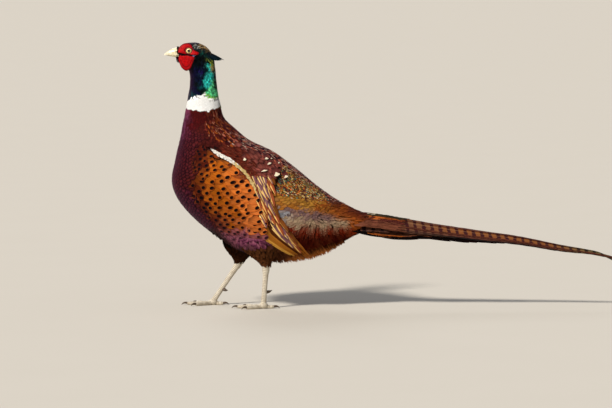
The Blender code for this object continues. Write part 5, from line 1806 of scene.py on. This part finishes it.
def wattle_out(x, z):
    """Height over the middle plane, and how deep in a groove a place is, which the finish paints as shade:
    the head's half width, swollen in the middle of the patch, pressed in round the eye and along the fold,
    with the papillae on top. The painted shade also falls on the patch's border and its lower rim."""
    away_x, away_z = x - WATTLE_AT[0], z - WATTLE_AT[1]
    reach = profile(WATTLE_REACH, np.degrees(np.arctan2(away_z, away_x)) % 360)
    share = np.clip(np.hypot(away_x, away_z) / reach, 0, 1)
    skin_out = (half_width(HEAD_FAN, x, z) ** 4 + 10.0**4) ** 0.25
    eye = np.hypot(x - EYE_AT[0], z - EYE_AT[1])
    fold = np.exp(-(((z - fold_height(x)) / 1.7) ** 2))
    rim = np.exp(-(((share - 0.74) / 0.05) ** 2)) * ease(-3.0, -8.0, away_z)
    swell = WATTLE_SWELL * (1 - share**3) ** 0.6 * (1 - 0.9 * np.exp(-((eye / 7.5) ** 4)))
    swell = swell - WATTLE_FOLD * fold - 0.5 * rim
    lumps = 0.35 * np.sin(0.75 * x + 0.5 * z) * np.cos(0.8 * z - 0.3 * x) * (1 - share**2)
    wrinkle = 0.3 * np.sin(eye * 2.6) * np.exp(-(((eye - 8.2) / 2.4) ** 2))
    point = papillae(x, z) * PAPILLA_HEIGHT * np.clip(eye / 6 - 0.9, 0, 1) * (1 - 0.5 * fold)
    # Painted shade: in the fold, between the papillae, near the border and along the lower rim.
    groove = 0.6 * fold + 0.9 * np.clip(0.15 - papillae(x, z), 0, 1)
    groove = groove + 0.6 * ease(0.82, 1.0, share) + 0.5 * rim
    return skin_out - 1.4 + swell + (point + wrinkle + lumps) * np.clip((1 - share) * 9, 0, 1), groove


def wattle_face(side, angle, share):
    """Points of the patch from its polar grid, and how deep in a groove each is."""
    reach = profile(WATTLE_REACH, np.degrees(angle)) * share
    x = WATTLE_AT[0] + reach * np.cos(angle)
    z = WATTLE_AT[1] + reach * np.sin(angle)
    out, groove = wattle_out(x, z)
    return vectors(x, side * out, z), groove


def wattle_finish():
    """Red skin, deep crimson in the hollows, the fold and at the border: painted shade."""
    made = Finish("wattle_skin", 0.5, Specular_IOR_Level=0.12, Subsurface_Weight=0.05,
                  Subsurface_Scale=0.0015, Subsurface_Radius=(1.0, 0.1, 0.08))
    groove = made.read("groove")
    blotch = made.noise(230, 3)
    grain = made.noise(1500, 3)
    colour = made.mix(blotch.step(0.38, 0.7) * 0.5, paint(205, 0, 6), paint(150, 0, 6))
    # Painted shade: deep crimson where the groove value is high.
    colour = made.mix(groove, colour, paint(74, 0, 8))
    colour = made.mix(grain.step(0.55, 0.75) * 0.25, colour, paint(60, 0, 8))
    made.bump(grain, 0.35, 0.0004)
    return made.surface(Base_Color=colour)


def grooves(values):
    """A colour attribute from how deep in a groove each point is, which the finishes darken as painted shade.
    """
    values = np.clip(values, 0, 1).ravel()
    return {"groove": vectors(values, values, values, 1.0)}


print("the middle of the red skin is", float(wattle_out(*WATTLE_AT)[0].round(1)), "mm from the middle plane")

# %% The wattles' finish and pieces


def make_wattle(side, word, finish):
    """The patch, and a floor inside the head that closes it."""
    share, angle = grid(np.linspace(0.02, 1, WATTLE_RINGS) ** 0.8, circle(WATTLE_SECTORS))
    outer, groove = wattle_face(side, angle, share)
    floor_ring = outer[-1:].copy()
    floor_ring[..., 1] = side * WATTLE_FLOOR
    points, faces = tube(np.concatenate([outer, floor_ring]))
    depth = np.concatenate([groove.ravel(), np.ones(WATTLE_SECTORS), [0.0, 1.0]])
    piece("wattle_skin_" + word, points, faces, finish, "wattle", ("wattle_" + word,), colours=grooves(depth))


red_skin = wattle_finish()
for side, word in SIDES:
    make_wattle(side, word, red_skin)

# %% [markdown]
# Black feathers as small as eyelashes frame the red skin: round the root of the bill, on the chin
# and in the fold between the lobes. Behind the eye, in the fold, some are pale violet, and a few
# crimson ones are specks in front of the eye.

# %% Small black feathers of the face
LASH = Template(3, 3)
BLACK_FEATHER = kind((4, 8, 9), 0.25, (10, 26, 24), 0.3)
CRIMSON_FEATHER = kind((60, 2, 8), 0.1)
VIOLET_FEATHER = kind((168, 156, 206), 0.2)


def face(side):
    """The surface of the red skin on one side. p is x and q is z, both in mm."""

    def point(p, q, lift=0.0):
        return vectors(p, side * (wattle_out(p, q)[0] + lift), q)

    return point


def add_lashes(coat, side, x, z, length, half, lean, row):
    points = lay(face(side), x, z, LASH, length, half, lean, (-0.3, 0.45), 0.1, 1.3, 0.1, 0.4)
    patch = vectors(0.1 + (x + 362) / 60, 0.1 + (z - 400) / 60)
    coat.add(points, LASH, rows_of(row, len(x)), 0.2, patch)


print("a lash has", len(LASH.faces), "triangles")

# %% Fold, specks, frame of the bill and beard
FOLD_FEATHERS, SPECKS, BILL_FEATHERS, BEARD = 260, 34, 220, 150


def add_fold_feathers(coat, side):
    """A dark line in the fold: broad at the corner of the bill, thin under the eye, broader behind it."""
    x = -359 + 29 * luck.random(FOLD_FEATHERS) ** 1.15
    band = profile({-359: 2.6, -354: 1.9, -348: 0.9, -340: 0.7, -335: 1.5, -330: 1.8}, x)
    z = fold_height(x) + band * luck.uniform(-1, 1, FOLD_FEATHERS)
    pale = (np.abs(x + 334) < 2.2) & (np.abs(z - fold_height(x)) < 1.3)
    for chosen, row in ((~pale, BLACK_FEATHER), (pale, VIOLET_FEATHER)):
        at = x[chosen], z[chosen]
        length = 2.6 + 0.4 * errors(at[0])
        add_lashes(coat, side, *at, length, 0.42, 0.15 * errors(at[0]), row)


def add_specks(coat, side):
    """Single tiny feathers in the red skin in front of the eye."""
    x = luck.uniform(-355, -346, SPECKS)
    z = luck.uniform(418, 431, SPECKS)
    add_lashes(coat, side, x, z, 1.5, 0.22, 0.3 * errors(x), CRIMSON_FEATHER)


def add_bill_frame(coat):
    """Feathers round the root of the bill, pointing back, and a short beard on the chin."""
    angle = luck.uniform(-np.pi, np.pi, BILL_FEATHERS)
    ring = vectors(-357.6, 7.0 * np.sin(angle), 421.3 + 8.0 * np.cos(angle))
    root = ring + 0.3 * luck.normal(size=ring.shape)
    out = vectors(0.0, np.sin(angle), np.cos(angle))
    ahead = np.array([-1.0, 0, -0.35]) + 0.3 * out + 0.15 * luck.normal(size=ring.shape)
    wide = np.cross(ahead, out)
    length = 3.4 + 0.5 * errors(angle)
    frame_points = free_vane(root, ahead, wide, length, np.full(BILL_FEATHERS, 0.55), 0 * angle, LASH)
    root = luck.uniform((-363.0, -6.0, 411.5), (-355.0, 6.0, 414.5), (BEARD, 3))
    ahead = vectors(0.1 + 0.3 * luck.random(BEARD), 0.08 * root[:, 1], -1.0)
    wide = np.cross(ahead, np.array([1.0, 0, 0.4]))
    length = 8.5 + 1.2 * errors(root)
    beard_points = free_vane(root, ahead, wide, length, np.full(BEARD, 0.7), np.zeros(BEARD), LASH)
    points = np.concatenate([frame_points, beard_points])
    patch = vectors(0.1 + 0.8 * luck.random(len(points)), 0.05)
    coat.add(points, LASH, rows_of(BLACK_FEATHER, len(points)), 0.2, patch)


lashes = Coat()
add_bill_frame(lashes)
for side in (-1, 1):
    add_fold_feathers(lashes, side)
    add_specks(lashes, side)
lashes.finish("feathers_face", small_finish, "plumage_head")

# %% [markdown]
# ## Eyes
# The eye is a ball set deep in the head, with a clear bulge in front. Iris and pupil are rings
# round its axis, so distance from that axis paints them. The lids are a thin wrinkled ring.

# %% Finishes of eye and lid
PUPIL, IRIS, CORNEA = 2.3, 4.9, 0.5      # radii of pupil and iris, and the height of the clear bulge
LID_RADIUS, LID_OUT = 5.0, 15.5
LID_SECTORS = 96


def eye_finish():
    """Distance from the eye's axis, in mm, paints the black pupil, the pale yellow iris and its dark rim."""
    made = Finish("eye", 0.06, Specular_IOR_Level=0.6, Coat_Weight=1.0, Coat_Roughness=0.02)
    x, _, z = made.parts(made.node("TexCoord", None, None, "Object"))
    across = (x - EYE_AT[0] * MM) * 1000
    up = (z - EYE_AT[1] * MM) * 1000
    away = (across * across + up * up) ** 0.5
    fibre = made.noise(900, 4)
    iris = made.mix(fibre.step(0.35, 0.7) * 0.4, paint(250, 232, 150), paint(226, 192, 96))
    iris = made.mix(away.step(IRIS - 0.6, IRIS), iris, paint(60, 34, 16))
    iris = made.mix(away.step(PUPIL + 0.7, PUPIL) * 0.35, iris, paint(170, 116, 44))
    pupil = away.step(PUPIL + 0.12, PUPIL - 0.12)
    return made.surface(Base_Color=made.mix(pupil, iris, (0.003, 0.003, 0.004)))


def lid_finish():
    made = Finish("lid_skin", 0.5)
    fleck = made.noise(1500, 3)
    return made.surface(Base_Color=made.mix(fleck, paint(120, 20, 18), paint(44, 16, 18)))


print("the iris is", 2 * IRIS, "mm across")

# %% Eyeballs and lids


def make_eyeball(side, word, finish):
    latitude, longitude = grid(np.linspace(0.03, np.pi - 0.03, 40), circle(48))
    bulge = EYE_RADIUS + CORNEA * np.exp(-((latitude / 0.55) ** 4))
    ball = vectors(
        EYE_AT[0] + bulge * np.sin(latitude) * np.cos(longitude),
        side * (EYE_OUT + bulge * np.cos(latitude)),
        EYE_AT[1] + bulge * np.sin(latitude) * np.sin(longitude),
    )
    piece("eyeball_" + word, *tube(ball), finish, "eye", ("eye_" + word,))


def make_lids(side, word, finish):
    """A wrinkled ring, thicker above and below the eye than at its corners."""
    around, tilt = grid(circle(LID_SECTORS), circle(16))
    wrinkle = 1 + 0.12 * np.sin(around * 17) + 0.08 * np.sin(around * 29 + 1)
    thick = (0.72 + 0.22 * np.sin(around) ** 2) * wrinkle
    ring = LID_RADIUS + thick * np.cos(tilt)
    lid = vectors(
        EYE_AT[0] + 1.06 * ring * np.cos(around),
        side * (LID_OUT - 0.5 * np.cos(around) + thick * np.sin(tilt)),
        EYE_AT[1] + 0.96 * ring * np.sin(around),
    )
    faces = grid_faces(LID_SECTORS + 1, 16) % (LID_SECTORS * 16)
    piece("lids_" + word, lid, faces, finish, "wattle")


lid_skin = lid_finish()
for side, word in SIDES:
    make_eyeball(side, word, eye_finish())
    make_lids(side, word, lid_skin)

# %% [markdown]
# ## Bill
# Two halves of pale horn. The upper one arches down over the lower one, and has a nostril under a
# soft hood on each side. The hood is raised and the slit pressed in by formula, on a fine grid.

# %% Form of the bill
BILL_BASE_X, BILL_TIP_X = -356.4, -382.6
GAPE_Z = 415.4               # height of the cutting edges at the base
LOWER_SHARE = 0.84           # length of the lower half
NOSTRIL_AT = (-361.2, 420.9)


def bill_rings(upper, steps=64, around=44):
    """Half round sections between the cutting edge and the ridge, which fall to the tip by powers of the
    share of the length, closed by a flat below."""
    step = np.linspace(0, 0.992, steps)
    t = step if upper else step * LOWER_SHARE
    x = BILL_BASE_X - (BILL_BASE_X - BILL_TIP_X) * t
    edge = GAPE_Z + 1.4 * t - 5.4 * np.maximum(0, t - 0.7)
    if upper:
        ridge = np.maximum(415.6 + 13.2 * (1 - t**1.55) ** 0.8 + 0.9 * t, edge + 0.6)
        width = 6.9 * (1 - t**1.35) ** 0.75 + 0.35
    else:
        edge = edge - 0.4
        ridge = edge - 3.2 * (1 - step**1.6) ** 0.7 - 0.45
        width = 5.9 * (1 - step**1.4) ** 0.8 + 0.5
    arch = np.linspace(0, np.pi, around)
    back = np.linspace(0.9, -0.9, 10)
    y = np.concatenate([-width[:, None] * np.cos(arch), width[:, None] * back], axis=1)
    rise = np.concatenate([np.abs(np.sin(arch)) ** 0.85, np.zeros(10)])
    z = edge[:, None] + (ridge - edge)[:, None] * rise
    x = np.repeat(x[:, None], y.shape[1], axis=1)
    groove = np.zeros_like(x)
    if upper:
        off_x, off_z = x - NOSTRIL_AT[0], z - NOSTRIL_AT[1]
        hood = np.exp(-((off_x / 3.6) ** 2) - (((off_z - 1.6) / 2.0) ** 2))
        slit = np.exp(-((off_x / 2.0) ** 4) - (((off_z + 0.1 * off_x) / 0.65) ** 4))
        y = y + np.sign(y) * (1.0 * hood - 1.3 * slit) * np.clip(np.abs(y) / 2, 0, 1)
        # The nostril's slit gets painted shade; the last 2.2 mm at the base are a little darker.
        groove = slit + 0.25 * ease(BILL_BASE_X - 2.2, BILL_BASE_X, x)
    return vectors(x, y, z), groove


print("the bill is", round(BILL_BASE_X - BILL_TIP_X, 1), "mm long")

# %% Horn of the bill


def bill_finish():
    """Ivory horn with faint lines along it, dark in the nostril, which is painted shade of its slit, and
    dusky at the base.
    """
    made = Finish("bill_horn", 0.34, Specular_IOR_Level=0.5, Coat_Weight=0.25, Coat_Roughness=0.15)
    x, _, z = made.parts(made.node("TexCoord", None, None, "Object"))
    growth = made.noise(330, 3)
    lines = (z * 9000 + growth * 6).sine() * 0.5 + 0.5
    colour = made.mix(growth.step(0.3, 0.8), paint(240, 230, 196), paint(206, 188, 142))
    colour = made.mix(x.step(-0.370, -0.383) * 0.5, colour, paint(226, 220, 206))
    colour = made.mix(lines * 0.1, colour, paint(120, 100, 66))
    made.bump(lines * 0.3 + growth, 0.12, 0.0004)
    # Painted shade in the nostril's slit, and the darker base.
    return made.surface(Base_Color=made.mix(made.read("groove"), colour, paint(52, 38, 26)))


horn = bill_finish()
for upper, word in ((True, "bill_upper"), (False, "bill_lower")):
    rings, groove = bill_rings(upper)
    depth = grooves(np.append(groove.ravel(), [0.3, 0.0]))
    piece(word + "_horn", *tube(rings), horn, "bill", (word,), colours=depth)

# %% [markdown]
# ## Ear tufts
# Two tufts of long narrow feathers rise behind the crown and lie back past the nape. They grow
# free of any surface, so each is placed by a root, a direction and a droop.

# %% Tufts
TUFT_LENGTH = 31.0
TUFT_FEATHERS = 34
TUFT_ROW = kind((8, 24, 34), 0.55, (4, 40, 40), 0.5)


def make_tufts():
    """Most feathers of a tuft lie close together, and the lowest ones hang apart from it."""
    coat = Coat()
    for side in (-1, 1):
        n = TUFT_FEATHERS
        share = luck.random(n)
        apart = luck.normal(size=(n, 3))
        root = np.array([-316.0, side * 10.6, 420.5]) + apart * [2.2, 0.5, 0.6]
        fall = np.radians(20 + 9 * share + 34 * np.clip(share - 0.86, 0, 1) / 0.14)
        out = np.radians(9 + 8 * share + 3 * apart[:, 1])
        ahead = vectors(np.cos(fall) * np.cos(out), side * np.sin(out), -np.sin(fall))
        wide = np.cross(ahead, np.array([0, side * 1.0, 0.3]))
        length = TUFT_LENGTH * (0.94 - 0.4 * share**2 + 0.05 * apart[:, 2])
        half = 0.7 + 0.3 * luck.random(n)
        points = free_vane(root, ahead, wide, length, half, 2.2 + 2 * share, CONTOUR, 1.2)
        patch = vectors(0.1 + 0.8 * share, 0.3 + 0.2 * side)
        coat.add(points, CONTOUR, rows_of(TUFT_ROW, n), 0.3, patch)
    return coat.finish("tufts", small_finish, "plumage_head", ("ear_tuft_left", "ear_tuft_right"))


make_tufts()

# %% [markdown]
# ## Legs and feet
# Bare legs are covered in horny plates: wide ones in front, small round ones behind. On a tube
# the plates are a saw wave along it, which lifts the lower edge of each plate over the next.

# %% Plates round a limb
PLATE = 2.7                  # length of a plate of the shank
UP = np.array([0.0, 0.0, 1.0])


def limb(path, radius, plate, rows, columns, front, plate_height=0.3, floor=None):
    """A tube round a line of points, given with its radii by knots at even shares. front is the side that
    carries the wide plates. Returns its rings and how deep in a groove each point is."""
    share = np.linspace(0, 1, rows)
    knots = np.linspace(0, 1, len(path))
    line = smooth_curve(knots, path, share)
    size = smooth_curve(np.linspace(0, 1, len(radius)), radius, share)
    ahead = unit(np.gradient(line, axis=0))
    face = unit(front - (front * ahead).sum(axis=1, keepdims=True) * ahead)
    beside = np.cross(ahead, face)
    run = np.concatenate([[0], np.cumsum(np.linalg.norm(np.diff(line, axis=0), axis=1))])
    angle = circle(columns)
    wide = ease(-0.25, 0.25, np.cos(angle))[None]
    phase = (run[:, None] / plate + 0.12 * np.cos(angle * 2)[None]) % 1.0
    plates = phase**1.5 - (phase > 0.93) * (phase - 0.93) * 14
    small = np.cos(2 * np.pi * run[:, None] / (plate * 0.6)) * np.cos(angle * 9)[None] * 0.5
    height = plate_height * (wide * plates + (1 - wide) * small * 0.6)
    # Groove depth, which the finish paints as shade: behind the edge of each wide plate and between the small
    # ones.
    groove = wide * np.clip(1.25 - 1.6 * plates - phase * 0.3, 0, 1) * (phase < 0.3)
    groove = groove + (1 - wide) * np.clip(-small, 0, 1)
    around = np.cos(angle)[None, :, None] * face[:, None] + np.sin(angle)[None, :, None] * beside[:, None]
    rings = line[:, None] + (size[:, None] + height)[..., None] * around
    if floor is not None:
        rings[..., 2] = np.maximum(rings[..., 2], floor)
    return rings, groove


def leg_finish(name, pale, dark):
    """Pale plates with dust and stains, darker in the grooves between them, which is painted shade."""
    made = Finish(name, 0.48, Specular_IOR_Level=0.4)
    stain = made.noise(190, 4)
    grain = made.noise(1800, 3)
    colour = made.mix(stain.step(0.3, 0.75) * 0.55, pale, dark)
    # Painted shade in the grooves between the plates.
    colour = made.mix(made.read("groove") * 0.75, colour, paint(70, 54, 40))
    made.bump(grain, 0.2, 0.0003)
    return made.surface(Base_Color=colour, Roughness=0.4 + grain * 0.25)


def horn_tube(line, radii, floor=None):
    """A smooth tapered horn along a bent line. Its one plate would be longer than itself."""
    return limb(np.array(line), radii, 50.0, 22, 14, UP, 0.0, floor)


def limb_piece(name, forms, finish, slot, node):
    """One piece of several tubes, each given by its rings and the depths of its grooves."""
    points, faces = merged([tube(rings) for rings, _ in forms])
    depth = np.concatenate([np.append(groove.ravel(), [0.3, 0.3]) for _, groove in forms])
    return piece(name, points, faces, finish, slot, (node,), colours=grooves(depth))


leg_skin = leg_finish("leg_plates", paint(218, 208, 188), paint(168, 152, 126))
claw_horn = leg_finish("claw_horn", paint(96, 78, 60), paint(56, 44, 36))

# %% [markdown]
# A pheasant walks on three toes in front, with a short hind toe set higher. Each toe ends in a
# blunt claw, and a cock has a spur behind each shank. The soles are flat on the floor.

# %% Shanks, toes, claws and spurs
TOES = {"inner": (-30.0, 32.0), "middle": (4.0, 43.0), "outer": (36.0, 35.0), "hind": (174.0, 17.0)}
TOE_THICK, TOE_HEIGHT = 3.1, 2.2
TOE_ARCH = ((-0.08, 3.6), (0.18, 1.2), (0.45, 0.4), (0.7, 0.25), (1.0, 0.5))   # share of length, height
KNUCKLES = (1.3, 1.18, 0.92, 1.04, 0.84, 0.96, 0.66)         # shares of TOE_THICK
CLAW_LINE, CLAW_RADII = ((-1.5, 0), (3, 0.9), (6.6, 0.2), (9.6, -2.4)), (1.9, 1.6, 1.1, 0.3)
SPUR_REACH, SPUR_RADII = (3.0, 8.2, 11.0, 14.0), (3.0, 2.3, 1.4, 0.35)
SPUR_SHARE = 0.36            # of the way from sole to ankle


def make_shank(word, top, ankle, sole, slant):
    line = np.array([top + slant * 12, ankle, ankle - slant * 9, (ankle + sole) / 2, sole + slant * 9, sole])
    shank = limb(line, (5.2, 5.9, 4.7, 4.1, 4.3, 5.0), PLATE, 190, 48, np.array([-1.0, 0.0, 0.0]))
    limb_piece("shank_plates_" + word, [shank], leg_skin, "leg", "shank_" + word)


def make_foot(word, side, sole):
    """Four toes and the pad between them in one piece, and a claw on each toe."""
    forms = []
    for number, (splay, length) in enumerate(TOES.values(), 1):
        turn = math.pi + math.radians(splay) * side
        ahead = np.array([math.cos(turn), math.sin(turn), 0.0])
        base = np.array([sole[0], sole[1], TOE_HEIGHT + 0.3])
        line = np.array([base + ahead * length * t + UP * rise for t, rise in TOE_ARCH])
        radii = [TOE_THICK * share for share in KNUCKLES]
        forms.append(limb(line, radii, 2.3, 110, 32, UP, 0.22, 0.0))
        claw = horn_tube([line[-1] + ahead * far + UP * up for far, up in CLAW_LINE], CLAW_RADII, 0.0)
        end = "%s_%d" % (word, number)
        limb_piece("claw_horn_" + end, [claw], claw_horn, "claw", "claw_" + end)
    latitude, longitude = grid(np.linspace(0.05, np.pi - 0.05, 30), circle(40))
    pad = sole + vectors(
        7.4 * np.sin(latitude) * np.cos(longitude),
        6.6 * np.sin(latitude) * np.sin(longitude),
        5.6 * np.cos(latitude) - 1.0,
    )
    pad[..., 2] = np.maximum(pad[..., 2], 0.0)
    forms.append((pad, np.clip(np.cos(longitude * 12) * np.cos(latitude * 12), 0, 1)))
    limb_piece("toes_" + word, forms, leg_skin, "leg", "foot_" + word)


def make_spur(word, side, ankle, sole, slant):
    """It stands square to the shank, behind it and a little inwards, and bends upwards."""
    out = np.array([0.9, -side * 0.42, 0.0])
    out -= slant * np.dot(out, slant)
    out /= np.linalg.norm(out)
    root = sole + (ankle - sole) * SPUR_SHARE
    line = [root + out * far + UP * (0.02 * far * far) for far in SPUR_REACH]
    limb_piece("spur_horn_" + word, [horn_tube(line, SPUR_RADII)], claw_horn, "claw", "spur_" + word)


for side, word in SIDES:
    _, top, ankle, sole = leg_line(word)
    slant = (ankle - sole) / np.linalg.norm(ankle - sole)
    make_shank(word, top, ankle, sole, slant)
    make_foot(word, side, sole)
    make_spur(word, side, ankle, sole, slant)

# %% [markdown]
# ## Stage, light and camera
# A museum photographs such a model on a pale floor in soft light. A wide sun is the key, from the
# left and above the camera. A weak one from behind lights the edges, and a pale sky fills the
# shade.

# %% Floor and light
FLOOR_HALF = 80.0            # metres
floor_mesh = bpy.data.meshes.new("floor")
floor_corners = [(x * FLOOR_HALF, y * FLOOR_HALF, 0.0) for x, y in ((-1, -1), (1, -1), (1, 1), (-1, 1))]
floor_mesh.from_pydata(floor_corners, [], [(0, 1, 2, 3)])
paper = Finish("floor_paper", 0.9, Specular_IOR_Level=0.1)
tint = paper.mix(paper.noise(6, 2) * 0.1, paint(208, 202, 191), paint(190, 183, 170))
floor_mesh.materials.append(paper.surface(Base_Color=tint))
placed("floor", floor_mesh)


def sun(name, strength, size, aim, colour):
    """A sun whose light travels along aim. Its size in degrees softens the shadows."""
    data = bpy.data.lights.new(name, "SUN")
    data.energy = strength
    data.angle = math.radians(size)
    data.color = colour
    x, y, z = aim
    lamp = placed(name, data)
    lamp.rotation_euler = (math.atan2(math.hypot(x, y), -z), 0.0, math.atan2(y, x) - math.pi / 2)


sun("key", 4.0, 9, (0.6, 0.66, -0.75), (1.0, 0.95, 0.88))
sun("back", 0.7, 25, (0.3, -0.8, -0.6), (0.95, 0.97, 1.0))
world = bpy.data.worlds.new("studio")
world.use_nodes = True
sky = world.node_tree.nodes["Background"].inputs
sky["Color"].default_value = (0.86, 0.9, 1.0, 1.0)
sky["Strength"].default_value = 0.24
bpy.context.scene.world = world
bpy.context.scene.view_settings.view_transform = "Standard"
print("two suns and a sky")

# %% [markdown]
# The camera stands six metres away and a little above the bird's back, looking down by four
# degrees. Its lens is as long as the width of the picture at the bird asks for.

# %% Camera
FRAME_WIDTH = 1.0098           # metres across the picture at the bird
FRAME_MIDDLE = np.array([-0.1487, 0.0, 0.170])
DISTANCE = 6.0
ELEVATION = math.radians(4)
SENSOR = 36.0                  # mm
camera_data = bpy.data.cameras.new("camera")
camera_data.sensor_width = SENSOR
camera_data.lens = SENSOR * DISTANCE / FRAME_WIDTH
camera_data.clip_end = 500
camera = placed("camera", camera_data)
camera.location = FRAME_MIDDLE + DISTANCE * np.array([0.0, -math.cos(ELEVATION), math.sin(ELEVATION)])
camera.rotation_euler = (math.pi / 2 - ELEVATION, 0.0, 0.0)
bpy.context.scene.camera = camera
print("lens", round(camera_data.lens), "mm")
